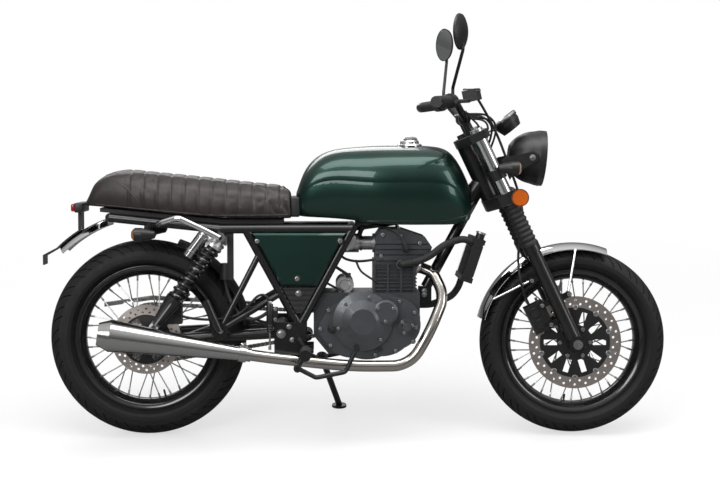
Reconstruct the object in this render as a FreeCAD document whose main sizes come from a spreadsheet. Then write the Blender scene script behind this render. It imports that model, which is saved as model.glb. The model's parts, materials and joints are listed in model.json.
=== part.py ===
import FreeCAD, Part
import math
import os
import Sketcher
from FreeCAD import Placement, Rotation, Vector

# Cafe racer motorcycle, 125 cc class, parked on its side stand.
# Every piece is laid out upright first: x forward from the rear axle, y to the rider's left,
# z up from the floor. The whole machine is then leaned onto its stand.

LENGTHS = {
    # whole machine
    "wheelbase": 1338.0,
    "fit_gap": 0.3,
    "running_gap": 1.0,
    "overrun": 2.0,
    # front wheel
    "front_tyre_radius": 293.0,
    "front_tyre_half_width": 55.0,
    "front_shoulder_half": 46.0,
    "front_shoulder_drop": 21.0,
    # rear wheel
    "rear_tyre_radius": 307.0,
    "rear_tyre_half_width": 65.0,
    "rear_shoulder_half": 54.0,
    "rear_shoulder_drop": 27.0,
    # rims, spokes and hubs, alike on both wheels
    "rim_inner_radius": 195.0,
    "rim_seat_radius": 216.0,
    "rim_flange_radius": 227.0,
    "rim_half_width": 39.0,
    "rim_flange_wall": 4.0,
    "rim_well_half": 12.0,
    "rim_shoulder_radius": 212.0,
    "bead_rise": 2.0,
    "spoke_thickness": 4.0,
    "spoke_hub_radius": 38.0,
    "spoke_hub_spread": 3.0,
    "spoke_rim_spread": 7.0,
    "hub_barrel_radius": 26.0,
    "hub_flange_radius": 44.0,
    "hub_flange_half": 4.0,
    "hub_flange_offset": 30.0,
    "hub_end_radius": 20.0,
    "axle_radius": 8.5,
    "axle_nut_radius": 15.0,
    "axle_nut_length": 10.0,
    "spacer_radius": 14.0,
    # discs
    "disc_thickness": 4.5,
    "disc_boss_radius": 38.0,
    "disc_slot_clearance": 5.5,
    "disc_hole_radius": 4.0,
    "disc_hole_stagger": 12.0,
    "front_disc_radius": 145.0,
    "front_disc_offset": 68.0,
    "front_disc_band": 34.0,
    "front_window_inner": 56.0,
    "front_window_outer": 98.0,
    "rear_disc_radius": 108.0,
    "rear_disc_offset": 76.0,
    "rear_disc_band": 30.0,
    "rear_window_inner": 46.0,
    "rear_window_outer": 70.0,
    # fork
    "fork_offset": 40.0,
    "fork_spread": 100.0,
    "stanchion_radius": 20.5,
    "slider_radius": 22.5,
    "slider_below_axle": 22.0,
    "slider_top": 338.0,
    "slider_collar_radius": 27.0,
    "slider_collar_length": 22.0,
    "axle_boss_radius": 25.0,
    "axle_boss_half": 24.0,
    "gaiter_top": 482.0,
    "gaiter_radius": 27.0,
    "gaiter_root_radius": 23.0,
    "lower_clamp_base": 484.0,
    "lower_clamp_thickness": 36.0,
    "upper_clamp_base": 701.0,
    "upper_clamp_thickness": 26.0,
    "clamp_ear": 11.0,
    "clamp_waist_half": 34.0,
    "stanchion_top": 735.0,
    "stem_radius": 15.0,
    "stem_nut_radius": 17.0,
    "stem_nut_rise": 12.0,
    "head_tube_radius": 30.0,
    # lugs on the lower legs
    "caliper_lug_low": 89.0,
    "caliper_lug_high": 155.0,
    "caliper_lug_back": 47.0,
    "fender_lug_height": 151.0,
    "fender_lug_forward": 43.0,
    "stay_lug_height": 239.0,
    "stay_lug_back": 43.0,
    "lug_radius": 9.0,
    "lug_half": 8.0,
    # front fender
    "fender_clearance": 14.0,
    "fender_sheet": 2.5,
    "fender_half_width": 64.0,
    "fender_crown_drop": 17.0,
    "fender_stay_radius": 4.0,
    # front caliper
    "caliper_length": 92.0,
    "caliper_depth": 62.0,
    "caliper_wall": 16.0,
    # headlamp, gauge and indicators, placed from the front axle along and ahead of the legs
    "headlamp_up": 583.0,
    "headlamp_forward": 122.0,
    "headlamp_radius": 87.0,
    "headlamp_depth": 118.0,
    "headlamp_rim_depth": 20.0,
    "headlamp_neck_radius": 34.0,
    "headlamp_wall": 5.0,
    "lens_radius": 79.0,
    "lens_crown": 12.0,
    "lens_thickness": 6.0,
    "lamp_bracket_wall": 6.0,
    "lamp_bracket_width": 34.0,
    "lamp_bracket_gap": 5.0,
    "gauge_up": 705.0,
    "gauge_forward": 108.0,
    "gauge_radius": 40.0,
    "gauge_bezel_radius": 43.0,
    "gauge_depth": 44.0,
    "gauge_bezel_depth": 10.0,
    "gauge_bracket_thickness": 5.0,
    "indicator_radius": 21.0,
    "indicator_length": 76.0,
    "indicator_stalk_radius": 7.0,
    "front_indicator_up": 588.0,
    "front_indicator_forward": 36.0,
    "front_indicator_side": 165.0,
    "reflector_radius": 27.0,
    "reflector_thickness": 8.0,
    "reflector_up": 490.0,
    "reflector_forward": 31.0,
    # handlebar
    "bar_radius": 11.0,
    "bar_clamp_up": 779.0,
    "bar_clamp_forward": -14.0,
    "bar_clamp_half": 70.0,
    "riser_side": 42.0,
    "riser_radius": 14.0,
    "riser_cap_radius": 19.0,
    "riser_cap_half": 16.0,
    "bar_bend_side": 158.0,
    "bar_bend_x": 952.0,
    "bar_bend_height": 1044.0,
    "bar_end_side": 360.0,
    "bar_end_x": 879.0,
    "bar_end_height": 1036.0,
    "bar_bend_radius": 45.0,
    "grip_length": 116.0,
    "grip_radius": 17.0,
    "bar_weight_radius": 16.5,
    "bar_weight_length": 22.0,
    "switch_length": 38.0,
    "switch_radius": 22.0,
    "perch_length": 22.0,
    "perch_radius": 17.0,
    "lever_forward": 52.0,
    "lever_length": 165.0,
    "lever_radius": 5.5,
    "reservoir_length": 44.0,
    "reservoir_width": 56.0,
    "reservoir_height": 34.0,
    # mirrors
    "mirror_stem_radius": 5.0,
    "mirror_foot_rise": 22.0,
    "mirror_centre_x": 952.0,
    "mirror_centre_side": 305.0,
    "mirror_centre_height": 1243.0,
    "mirror_radius": 54.0,
    "mirror_rim_depth": 6.0,
    "mirror_back_depth": 15.0,
    # frame
    "frame_tube_radius": 14.0,
    "backbone_radius": 26.0,
    "rail_side": 112.0,
    "rail_height": 652.0,
    "rail_front_x": 640.0,
    "rail_mid_x": 312.0,
    "rail_kick_x": 235.0,
    "rail_tail_x": -110.0,
    "rail_tail_height": 686.0,
    "rail_tail_side": 78.0,
    "rail_bend_radius": 60.0,
    "cradle_x": 476.0,
    "cradle_height": 351.0,
    "cradle_foot_height": 263.0,
    "cradle_bend_radius": 30.0,
    "backbone_rear_x": 650.0,
    "backbone_drop": 14.0,
    "backbone_root_up": 581.0,
    "backbone_bend_x": 985.0,
    "backbone_bend_height": 712.0,
    "down_tube_root_up": 575.0,
    "down_tube_radius": 17.0,
    "down_tube_foot_x": 874.0,
    "down_tube_foot_height": 462.0,
    "stay_tube_radius": 9.0,
    "hanger_x": 233.0,
    "hanger_height": 342.0,
    "hanger_side": 150.0,
    "hanger_plate_radius": 26.0,
    "hanger_plate_half": 10.0,
    "mount_stud_radius": 7.0,
    "mount_plate_thickness": 8.0,
    "mount_plate_height": 48.0,
    "stand_strut_side": 30.0,
    "shock_stud_length": 58.0,
    # swingarm
    "pivot_x": 420.0,
    "pivot_height": 330.0,
    "pivot_radius": 25.0,
    "pivot_pin_radius": 9.0,
    "arm_side": 106.0,
    "arm_radius": 17.0,
    "arm_plate_length": 92.0,
    "arm_plate_height": 52.0,
    "arm_plate_thickness": 12.0,
    "pivot_plate_thickness": 10.0,
    "pivot_plate_length": 70.0,
    "pivot_plate_height": 110.0,
    # shocks
    "shock_top_x": 235.0,
    "shock_top_height": 628.0,
    "shock_foot_x": 30.0,
    "shock_foot_height": 352.0,
    "shock_side": 141.0,
    "shock_eye_radius": 14.0,
    "shock_eye_half": 11.0,
    "shock_rod_radius": 7.0,
    "shock_body_radius": 14.0,
    "shock_ring_radius": 27.0,
    "shock_cap_radius": 26.0,
    "shock_cap_length": 26.0,
    "spring_radius": 26.0,
    "spring_length": 196.0,
    "spring_wire_radius": 3.6,
    "reserve_tank_radius": 17.0,
    "reserve_tank_length": 96.0,
    "reserve_tank_offset": 46.0,
    # tank
    "tank_rear_x": 466.0,
    "tank_front_x": 1012.0,
    "tank_base": 664.0,
    "tank_top": 908.0,
    "tank_half_width": 138.0,
    "tunnel_half_width": 38.0,
    "tunnel_height": 70.0,
    "cap_x": 822.0,
    "cap_radius": 40.0,
    "cap_height": 32.0,
    # seat
    "seat_front_x": 455.0,
    "seat_rear_x": -194.0,
    "seat_lift": 28.0,
    "seat_height": 152.0,
    "seat_half_width": 128.0,
    "seat_pan_overhang": 30.0,
    # side covers
    "cover_thickness": 16.0,
    "cover_bevel": 6.0,
    "cover_inset": 12.0,
    "panel_rib_depth": 3.0,
    "panel_rib_height": 5.0,
    # engine
    "engine_rear_x": 520.0,
    "engine_front_x": 850.0,
    "engine_base": 262.0,
    "engine_deck": 452.0,
    "engine_half_width": 92.0,
    "cover_depth": 50.0,
    "clutch_x": 672.0,
    "clutch_height": 368.0,
    "clutch_radius": 92.0,
    "clutch_dome_radius": 66.0,
    "clutch_dome_depth": 14.0,
    "clutch_cover_front_x": 849.0,
    "clutch_cover_rear_x": 535.0,
    "clutch_cover_top": 448.0,
    "clutch_cover_base": 254.0,
    "timing_x": 742.0,
    "timing_height": 397.0,
    "timing_radius": 38.0,
    "timing_rise": 6.0,
    "pump_x": 806.0,
    "pump_height": 352.0,
    "pump_radius": 25.0,
    "pump_rise": 26.0,
    "generator_x": 690.0,
    "generator_height": 355.0,
    "generator_radius": 88.0,
    "sprocket_cover_x": 588.0,
    "sprocket_cover_radius": 62.0,
    "cylinder_x": 772.0,
    "cylinder_half_length": 66.0,
    "cylinder_half_width": 62.0,
    "cylinder_height": 100.0,
    "cylinder_rib_depth": 7.0,
    "cylinder_rib_width": 7.0,
    "head_fin_gap": 4.0,
    "head_fin_depth": 6.0,
    "head_half_length": 88.0,
    "head_half_width": 78.0,
    "head_height": 66.0,
    "head_cover_height": 31.0,
    "head_x": 800.0,
    "starter_x": 617.0,
    "starter_height": 474.0,
    "starter_radius": 28.0,
    "starter_half": 60.0,
    "intake_radius": 22.0,
    "throttle_radius": 30.0,
    "throttle_length": 62.0,
    "throttle_drum_radius": 17.0,
    "throttle_drum_half": 46.0,
    "intake_rear_x": 600.0,
    "intake_height": 602.0,
    # radiator
    "radiator_top_ahead": 77.0,
    "radiator_top_height": 619.0,
    "radiator_foot_ahead": 105.0,
    "radiator_foot_height": 486.0,
    "radiator_half_width": 100.0,
    "radiator_thickness": 38.0,
    "radiator_tank_height": 16.0,
    "radiator_core_setback": 4.0,
    "radiator_fin_gap": 5.0,
    "radiator_neck_radius": 14.0,
    "radiator_neck_height": 16.0,
    "hose_radius": 11.0,
    "hose_side": 80.0,
    "hose_stub": 30.0,
    "top_hose_x": 790.0,
    "top_hose_height": 540.0,
    "top_hose_side": 97.0,
    "top_hose_knee_x": 868.0,
    "top_hose_knee_height": 556.0,
    "top_hose_rise_x": 930.0,
    "top_hose_rise_height": 606.0,
    "foot_hose_height": 400.0,
    "foot_hose_side": 55.0,
    "foot_hose_rise_x": 962.0,
    "foot_hose_rise_height": 428.0,
    # exhaust
    "pipe_radius": 17.5,
    "muffler_front_x": 329.0,
    "muffler_front_height": 270.0,
    "muffler_front_side": 176.0,
    "muffler_rear_x": -130.0,
    "muffler_rear_height": 342.0,
    "muffler_rear_side": 224.0,
    "muffler_front_radius": 21.0,
    "muffler_radius": 49.0,
    "muffler_tip_radius": 34.0,
    "muffler_wall": 3.0,
    "muffler_cone": 38.0,
    "muffler_clamp_radius": 25.0,
    "muffler_clamp_length": 24.0,
    "muffler_clamp_from": 14.0,
    "exhaust_port_side": 34.0,
    # pegs and pedals
    "peg_x": 497.0,
    "peg_height": 284.0,
    "peg_radius": 17.0,
    "peg_inner_side": 196.0,
    "peg_outer_side": 304.0,
    "peg_arm_radius": 9.0,
    "rear_peg_radius": 13.0,
    "rear_peg_length": 104.0,
    "peg_root_height": 312.0,
    "pedal_pin_radius": 6.0,
    "pedal_hub_half": 12.0,
    "pedal_radius": 7.0,
    "pedal_side": 222.0,
    "pedal_front_x": 651.0,
    "pedal_front_height": 296.0,
    "pedal_hinge_x": 472.0,
    "pedal_hinge_height": 236.0,
    "pedal_low_x": 528.0,
    "pedal_low_height": 207.0,
    "pedal_pad_half": 24.0,
    "pedal_pad_radius": 9.0,
    # side stand
    "stand_pivot_x": 545.0,
    "stand_pivot_side": 112.0,
    "stand_pivot_height": 222.0,
    "stand_foot_x": 602.0,
    "stand_foot_side": 252.0,
    "stand_radius": 10.0,
    "stand_boss_radius": 18.0,
    "stand_boss_half": 11.0,
    "stand_pin_radius": 7.0,
    "stand_shoe_radius": 24.0,
    "stand_shoe_thickness": 8.0,
    # chain
    "chain_side": 79.0,
    "chain_half_width": 7.0,
    "chain_half_height": 6.0,
    "sprocket_radius": 94.0,
    "sprocket_thickness": 6.0,
    "sprocket_gap": 0.8,
    "tooth_rise": 1.6,
    "tooth_root_drop": 5.0,
    "link_waist_half_height": 5.0,
    "link_pitch": 12.7,
    "link_gap": 1.5,
    "sprocket_room": 12.0,
    "drive_radius": 34.0,
    "drive_x": 578.0,
    "drive_height": 342.0,
    "guard_width": 34.0,
    "guard_clearance": 8.0,
    "guard_depth": 12.0,
    "guard_rear_x": -150.0,
    "guard_front_x": 330.0,
    # rear body work
    "inner_fender_clearance": 14.0,
    "inner_fender_half_width": 66.0,
    "inner_fender_stay_side": 36.0,
    "tail_fender_radius": 392.0,
    "tail_fender_half_width": 66.0,
    "tail_fender_drop": 22.0,
    "grab_rail_radius": 9.0,
    "grab_rail_side": 172.0,
    "grab_rail_mid_x": 109.0,
    "grab_rail_mid_height": 690.0,
    "grab_rail_rear_x": 45.0,
    "grab_rail_eye_half": 6.0,
    "tail_lamp_half_width": 70.0,
    "tail_lamp_depth": 38.0,
    "tail_lamp_height": 30.0,
    "tail_lamp_x": -194.3,
    "tail_lamp_base": 701.0,
    "rear_indicator_x": 6.0,
    "rear_indicator_height": 638.0,
    "rear_indicator_side": 168.0,
    "plate_arm_width": 60.0,
    "plate_arm_thickness": 5.0,
    "plate_stalk_x": -205.0,
    "plate_tip_x": -326.0,
    "plate_tip_top": 567.0,
    "plate_tip_base": 536.0,
    "reserve_radius": 20.0,
    "reserve_height": 50.0,
    "reserve_x": 250.0,
    "reserve_base": 495.0,
    "brake_hose_radius": 4.0,
}

ANGLES = {
    "lean_angle": 9.0,
    "rake_angle": 25.5,
    "mirror_turn_angle": 26.0,
    "fender_front_angle": 70.0,
    "fender_sweep_angle": 96.0,
    "lamp_tilt_angle": 5.0,
    "gauge_tip_angle": 39.0,
    "rear_peg_tip_angle": 23.5,
    "inner_fender_start_angle": 8.0,
    "inner_fender_sweep_angle": 64.0,
    "tail_fender_end_angle": 134.0,
    "chain_guard_drop_angle": 8.0,
}

COUNTS = {
    "spoke_count": 36,
    "front_window_count": 10,
    "rear_window_count": 6,
    "gaiter_rib_count": 9,
    "spring_coil_count": 9,
    "sprocket_tooth_count": 46,
    "cover_rib_count": 5,
    "disc_hole_count": 24,
    "radiator_fin_count": 11,
    "cylinder_rib_count": 4,
    "head_fin_count": 3,
}

doc = FreeCAD.newDocument("Motorcycle")
sheet = doc.addObject("Spreadsheet::Sheet", "Sizes")


class Size(float):
    """A value of the sheet, or one worked out from it, with the formula that gives it."""

    def __new__(cls, value, formula):
        made = float.__new__(cls, value)
        made.formula = formula
        return made

    def joined(self, other, sign, value, swapped=False):
        first, second = (other, self) if swapped else (self, other)
        return Size(value, "(%s %s %s)" % (formula_of(first), sign, formula_of(second)))

    def __add__(self, other):
        return self.joined(other, "+", float(self) + float(other))

    def __radd__(self, other):
        return self.joined(other, "+", float(other) + float(self), True)

    def __sub__(self, other):
        return self.joined(other, "-", float(self) - float(other))

    def __rsub__(self, other):
        return self.joined(other, "-", float(other) - float(self), True)

    def __mul__(self, other):
        return self.joined(other, "*", float(self) * float(other))

    def __rmul__(self, other):
        return self.joined(other, "*", float(other) * float(self), True)

    def __truediv__(self, other):
        return self.joined(other, "/", float(self) / float(other))

    def __neg__(self):
        return Size(-float(self), "(0 - %s)" % self.formula)


def formula_of(value):
    return value.formula if isinstance(value, Size) else repr(float(value))


def fill_sheet():
    """One row for each driving dimension: its name, then its value under that name."""
    rows = {**LENGTHS, **ANGLES, **COUNTS}
    for row, (name, value) in enumerate(rows.items(), 1):
        sheet.set("A%d" % row, name)
        sheet.set("B%d" % row, str(value))
        sheet.setAlias("B%d" % row, name)
    doc.recompute()
    return {name: Size(getattr(sheet, name), "Sizes." + name) for name in rows}


class Sizes:
    """The sheet's values by name."""

    def __init__(self, values):
        self.__dict__.update(values)


s = Sizes(fill_sheet())
finished = []


def bind(obj, prop, value):
    """Set a property, and tie it to the sheet where the value comes from there."""
    setattr(obj, prop, float(value))
    if isinstance(value, Size):
        obj.setExpression(prop, value.formula)


def keep(obj, label):
    """Name a finished sub-part."""
    obj.Label = label
    finished.append(obj)
    return obj


def turned_to(direction, base):
    """A placement whose z axis points along the direction."""
    return Placement(base, Rotation(Vector(0, 0, 1), direction))


def rod(start, end, radius, overrun=0):
    """A round bar between two points, longer at its far end by the overrun."""
    bar = doc.addObject("Part::Cylinder", "Rod")
    direction = end - start
    bind(bar, "Radius", radius)
    bind(bar, "Height", direction.Length + overrun)
    bar.Placement = turned_to(direction, start)
    return bar


def cross_rod(centre, half_length, radius):
    """A round bar across the machine."""
    bar = doc.addObject("Part::Cylinder", "CrossRod")
    bind(bar, "Radius", radius)
    bind(bar, "Height", half_length * 2)
    bar.Placement = turned_to(Vector(0, 1, 0), centre - Vector(0, half_length, 0))
    return bar


def block(centre, length, width, height, turn=None):
    """A box about its centre, turned when a rotation is given."""
    box = doc.addObject("Part::Box", "Block")
    bind(box, "Length", length)
    bind(box, "Width", width)
    bind(box, "Height", height)
    turn = turn or Rotation()
    corner = turn.multVec(Vector(-length / 2, -width / 2, -height / 2))
    box.Placement = Placement(centre + corner, turn)
    return box


def fuse(*pieces):
    if len(pieces) == 1:
        return pieces[0]
    joined = doc.addObject("Part::MultiFuse", "Fuse")
    joined.Shapes = list(pieces)
    return joined


def welded(*pieces):
    """Join pieces one after another, for tubes that meet in one knot."""
    whole = pieces[0]
    for piece in pieces[1:]:
        joined = doc.addObject("Part::Fuse", "Weld")
        joined.Base = whole
        joined.Tool = piece
        whole = joined
    return whole


def cut(piece, *tools):
    for tool in tools:
        less = doc.addObject("Part::Cut", "Cut")
        less.Base = piece
        less.Tool = tool
        piece = less
    return piece


def both_sides(piece):
    """The piece and its mirror image on the other side of the machine."""
    image = doc.addObject("Part::Mirroring", "Mirror")
    image.Source = piece
    image.Normal = Vector(0, 1, 0)
    pair = doc.addObject("Part::Compound", "Pair")
    pair.Links = [piece, image]
    return pair


def mirrored(piece):
    image = doc.addObject("Part::Mirroring", "Mirror")
    image.Source = piece
    image.Normal = Vector(0, 1, 0)
    return image


def group(*pieces):
    """Solids that share a node without touching."""
    together = doc.addObject("Part::Compound", "Group")
    together.Links = list(pieces)
    return together


def bent_path(points, bend_radius):
    """Straight runs joined by tangent arcs."""
    edges = []
    last = points[0]
    for before, corner, after in zip(points, points[1:], points[2:]):
        back = (before - corner).normalize()
        ahead = (after - corner).normalize()
        half_turn = (math.pi - back.getAngle(ahead)) / 2
        setback = bend_radius * math.tan(half_turn)
        middle_way = (back + ahead).normalize()
        reach = bend_radius / math.cos(half_turn) - bend_radius
        start, end = corner + back * setback, corner + ahead * setback
        edges.append(Part.LineSegment(last, start).toShape())
        edges.append(Part.Arc(start, corner + middle_way * reach, end).toShape())
        last = end
    edges.append(Part.LineSegment(last, points[-1]).toShape())
    return Part.Wire(edges)


ARC_REACH_SHARE = 0.45


def easy_path(points):
    """Straight runs joined by tangent arcs, each as large as its two runs allow."""
    edges = []
    last = points[0]
    for before, corner, after in zip(points, points[1:], points[2:]):
        back = before - corner
        ahead = after - corner
        setback = min(back.Length, ahead.Length) * ARC_REACH_SHARE
        back.normalize()
        ahead.normalize()
        half_turn = (math.pi - back.getAngle(ahead)) / 2
        arc_radius = setback / math.tan(half_turn)
        reach = arc_radius / math.cos(half_turn) - arc_radius
        middle_way = (back + ahead).normalize()
        start, end = corner + back * setback, corner + ahead * setback
        edges.append(Part.LineSegment(last, start).toShape())
        edges.append(Part.Arc(start, corner + middle_way * reach, end).toShape())
        last = end
    edges.append(Part.LineSegment(last, points[-1]).toShape())
    return Part.Wire(edges)


def hose(points, radius):
    """A hose, cable or pipe whose bends are as easy as its route allows."""
    return tube(points, radius, None)


def tube(points, radius, bend_radius=0):
    """A round tube along straight runs and arcs, swept by a circle that the sheet sizes."""
    path = doc.addObject("Part::Feature", "Path")
    path.Shape = easy_path(points) if bend_radius is None else bent_path(points, bend_radius)
    ring = doc.addObject("Part::Circle", "Ring")
    bind(ring, "Radius", radius)
    ring.Placement = turned_to(points[1] - points[0], points[0])
    sweep = doc.addObject("Part::Sweep", "Tube")
    sweep.Sections = [ring]
    sweep.Spine = (path, [])
    sweep.Solid = True
    sweep.Frenet = False
    return sweep


def new_body(name, placement=None):
    body = doc.addObject("PartDesign::Body", name)
    body.Placement = placement or Placement()
    return body


def body_plane(body, role):
    return next(item for item in body.Origin.OriginFeatures if item.Role == role)


def new_sketch(body, role, offset=None):
    """A sketch on one of the body's own planes, or at an offset along its normal."""
    sketch = body.newObject("Sketcher::SketchObject", "Sketch")
    sketch.AttachmentSupport = [(body_plane(body, role), "")]
    sketch.MapMode = "FlatFace"
    if offset is not None:
        sketch.AttachmentOffset = Placement(Vector(0, 0, offset), Rotation())
        if isinstance(offset, Size):
            sketch.setExpression("AttachmentOffset.Base.z", offset.formula)
    return sketch


def fix_value(sketch, kind, index, end, value):
    """Hold one coordinate of a sketch point at a value."""
    if not isinstance(value, Size) and value == 0:
        axis = -2 if kind == "DistanceX" else -1
        sketch.addConstraint(Sketcher.Constraint("PointOnObject", index, end, axis))
        return
    held = sketch.addConstraint(Sketcher.Constraint(kind, -1, 1, index, end, float(value)))
    if isinstance(value, Size):
        sketch.setExpression("Constraints[%d]" % held, value.formula)


def fix_radius(sketch, index, radius):
    held = sketch.addConstraint(Sketcher.Constraint("Radius", index, float(radius)))
    if isinstance(radius, Size):
        sketch.setExpression("Constraints[%d]" % held, radius.formula)


def add_outline(sketch, corners):
    """A closed outline. A corner is (x, y), or (x, y, radius) when an arc leads to it.

    The arc bulges to the right of the way walked, or to the left where the radius is negative.
    """
    first = sketch.GeometryCount
    count = len(corners)
    for index in range(count):
        start = Vector(corners[index - 1][0], corners[index - 1][1], 0)
        end = Vector(corners[index][0], corners[index][1], 0)
        if len(corners[index]) == 2:
            sketch.addGeometry(Part.LineSegment(start, end), False)
        else:
            sketch.addGeometry(arc_between(start, end, corners[index][2]), False)
    starts = []
    ends = []
    for index in range(count):
        corner = Vector(corners[index][0], corners[index][1], 0)
        at_two = (sketch.getPoint(first + index, 2) - corner).Length
        at_one = (sketch.getPoint(first + index, 1) - corner).Length
        ends.append(2 if at_two <= at_one else 1)
        starts.append(1 if at_two <= at_one else 2)
    for index, corner in enumerate(corners):
        follower = (index + 1) % count
        sketch.addConstraint(
            Sketcher.Constraint(
                "Coincident", first + index, ends[index], first + follower, starts[follower]
            )
        )
        fix_value(sketch, "DistanceX", first + index, ends[index], corner[0])
        fix_value(sketch, "DistanceY", first + index, ends[index], corner[1])
        if len(corner) == 3:
            radius = corner[2]
            fix_radius(sketch, first + index, radius if radius > 0 else -radius)


def arc_between(start, end, radius):
    """A short arc from start to end. It bulges right of the chord, or left if negative."""
    chord = end - start
    size = abs(float(radius))
    half = chord.Length / 2
    rise = size - math.sqrt(size * size - half * half)
    right = Vector(chord.y, -chord.x, 0).normalize()
    side = right if radius > 0 else right * -1
    return Part.Arc(start, (start + end) * 0.5 + side * rise, end)


def add_circle(sketch, x, y, radius):
    index = sketch.addGeometry(Part.Circle(Vector(x, y, 0), Vector(0, 0, 1), float(radius)), False)
    fix_value(sketch, "DistanceX", index, 3, x)
    fix_value(sketch, "DistanceY", index, 3, y)
    fix_radius(sketch, index, radius)


def pad(body, sketch, length, midplane=False, backwards=False):
    feature = body.newObject("PartDesign::Pad", "Pad")
    feature.Profile = sketch
    bind(feature, "Length", length)
    feature.Midplane = midplane
    feature.Reversed = backwards
    return feature


def pocket_through(body, sketch):
    feature = body.newObject("PartDesign::Pocket", "Pocket")
    feature.Profile = sketch
    feature.Type = "ThroughAll"
    feature.Midplane = True
    return feature


def around(body, feature, axis_role, count):
    """Repeat a feature evenly about one of the body's own axes."""
    pattern = body.newObject("PartDesign::PolarPattern", "Around")
    pattern.Originals = [feature]
    pattern.Axis = (body_plane(body, axis_role), [""])
    pattern.Angle = 360
    pattern.Occurrences = int(count)
    pattern.setExpression("Occurrences", count.formula)
    body.Tip = pattern
    return pattern


def spun(body, sketch, angle=360, backwards=False):
    """Turn a sketch about its own horizontal axis."""
    feature = body.newObject("PartDesign::Revolution", "Spin")
    feature.Profile = sketch
    feature.ReferenceAxis = (sketch, ["H_Axis"])
    bind(feature, "Angle", angle)
    feature.Reversed = backwards
    return feature


def turned_part(name, placement, corners):
    """A piece turned about its own axis: corners are (along the axis, radius)."""
    body = new_body(name, placement)
    sketch = new_sketch(body, "YZ_Plane")
    add_outline(sketch, corners)
    spun(body, sketch)
    return body


def along(direction, base):
    """A placement whose y axis points along the direction, for turned parts."""
    return Placement(base, Rotation(Vector(0, 1, 0), direction))


def side_plate(name, y, corners, thickness):
    """A flat plate that stands lengthwise, drawn from the side as (x, z)."""
    body = new_body(name, Placement(Vector(0, y, 0), Rotation()))
    sketch = new_sketch(body, "XZ_Plane")
    add_outline(sketch, corners)
    pad(body, sketch, thickness, midplane=True)
    return body


# Hard points that the pieces share.
rake = math.radians(s.rake_angle)
LEG_UP = Vector(-math.sin(rake), 0, math.cos(rake))
LEG_AHEAD = Vector(math.cos(rake), 0, math.sin(rake))
FORK_TURN = Rotation(Vector(0, 1, 0), -s.rake_angle)
front_axle_point = Vector(s.wheelbase, 0, s.front_tyre_radius)
rear_axle_point = Vector(0, 0, s.rear_tyre_radius)


def fork_point(up, forward=0, side=0):
    """A point placed from the front axle: up the legs, ahead of them, and to the left."""
    return front_axle_point + LEG_UP * up + LEG_AHEAD * forward + Vector(0, side, 0)


def steering_point(up):
    """A point on the steering axis."""
    return fork_point(up, -s.fork_offset)


def tyre(label, centre, radius, half_width, shoulder_half, shoulder_drop):
    """A solid tyre: round crown, bulging walls, and a bead that sits between the rim flanges."""
    bead_half = s.rim_half_width - s.rim_flange_wall - s.fit_gap
    bead_top = s.rim_flange_radius + s.bead_rise
    seat = s.rim_seat_radius + s.fit_gap
    shoulder = radius - shoulder_drop
    crown = (shoulder_half * shoulder_half + shoulder_drop * shoulder_drop) / (2 * shoulder_drop)
    run = shoulder_half - bead_half
    rise = shoulder - bead_top
    bulge = half_width - (shoulder_half + bead_half) / 2
    wall = ((run * run + rise * rise) / 4 + bulge * bulge) / (2 * bulge)
    body = turned_part(label, Placement(centre, Rotation()), [
        (bead_half, seat),
        (bead_half, bead_top),
        (shoulder_half, shoulder, wall),
        (-shoulder_half, shoulder, crown),
        (-bead_half, bead_top, wall),
        (-bead_half, seat),
    ])
    return keep(body, label)


def rim(label, centre):
    """A deep alloy rim with its two flanges."""
    inner_flange = s.rim_half_width - s.rim_flange_wall
    body = turned_part(label, Placement(centre, Rotation()), [
        (inner_flange, s.rim_seat_radius),
        (inner_flange, s.rim_flange_radius),
        (s.rim_half_width, s.rim_flange_radius),
        (s.rim_half_width, s.rim_shoulder_radius),
        (s.rim_well_half, s.rim_inner_radius),
        (-s.rim_well_half, s.rim_inner_radius),
        (-s.rim_half_width, s.rim_shoulder_radius),
        (-s.rim_half_width, s.rim_flange_radius),
        (-inner_flange, s.rim_flange_radius),
        (-inner_flange, s.rim_seat_radius),
    ])
    return keep(body, label)


def spoke(centre, index):
    """One spoke, laced from a hub flange to the rim. Neighbours lean opposite ways."""
    side = 1 if index % 2 else -1
    lean = 1 if index // 2 % 2 else -1
    rim_angle = 2 * math.pi * index / s.spoke_count
    hub_angle = rim_angle + lean * math.pi / 3
    hub_side = side * s.hub_flange_offset + lean * s.spoke_hub_spread
    rim_side = side * s.spoke_rim_spread
    rim_reach = s.rim_inner_radius - s.fit_gap * 3
    start = Vector(
        s.spoke_hub_radius * math.cos(hub_angle), hub_side, s.spoke_hub_radius * math.sin(hub_angle)
    )
    end = Vector(rim_reach * math.cos(rim_angle), rim_side, rim_reach * math.sin(rim_angle))
    wire = doc.addObject("Part::Prism", "Spoke")
    wire.Polygon = 6
    bind(wire, "Circumradius", s.spoke_thickness / 2)
    bind(wire, "Height", (end - start).Length)
    wire.Placement = turned_to(end - start, centre + start)
    return wire


def spoked_hub(label, centre, disc_offset, other_end):
    """A bored hub with its flanges and a boss for the disc, and the spokes laced to it."""
    bore = s.axle_radius + s.fit_gap
    disc_face = disc_offset - s.disc_thickness / 2
    inner = s.hub_flange_offset - s.hub_flange_half
    outer = s.hub_flange_offset + s.hub_flange_half
    barrel = turned_part("HubBarrel", Placement(centre, Rotation()), [
        (-disc_face, bore),
        (-disc_face, s.disc_boss_radius),
        (-disc_face + s.hub_flange_half * 2, s.disc_boss_radius),
        (-outer, s.hub_flange_radius),
        (-inner, s.hub_flange_radius),
        (-inner, s.hub_barrel_radius),
        (inner, s.hub_barrel_radius),
        (inner, s.hub_flange_radius),
        (outer, s.hub_flange_radius),
        (outer, s.hub_end_radius),
        (other_end, s.hub_end_radius),
        (other_end, bore),
    ])
    spokes = [spoke(centre, index) for index in range(int(s.spoke_count))]
    return keep(fuse(barrel, *spokes), label)


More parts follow.
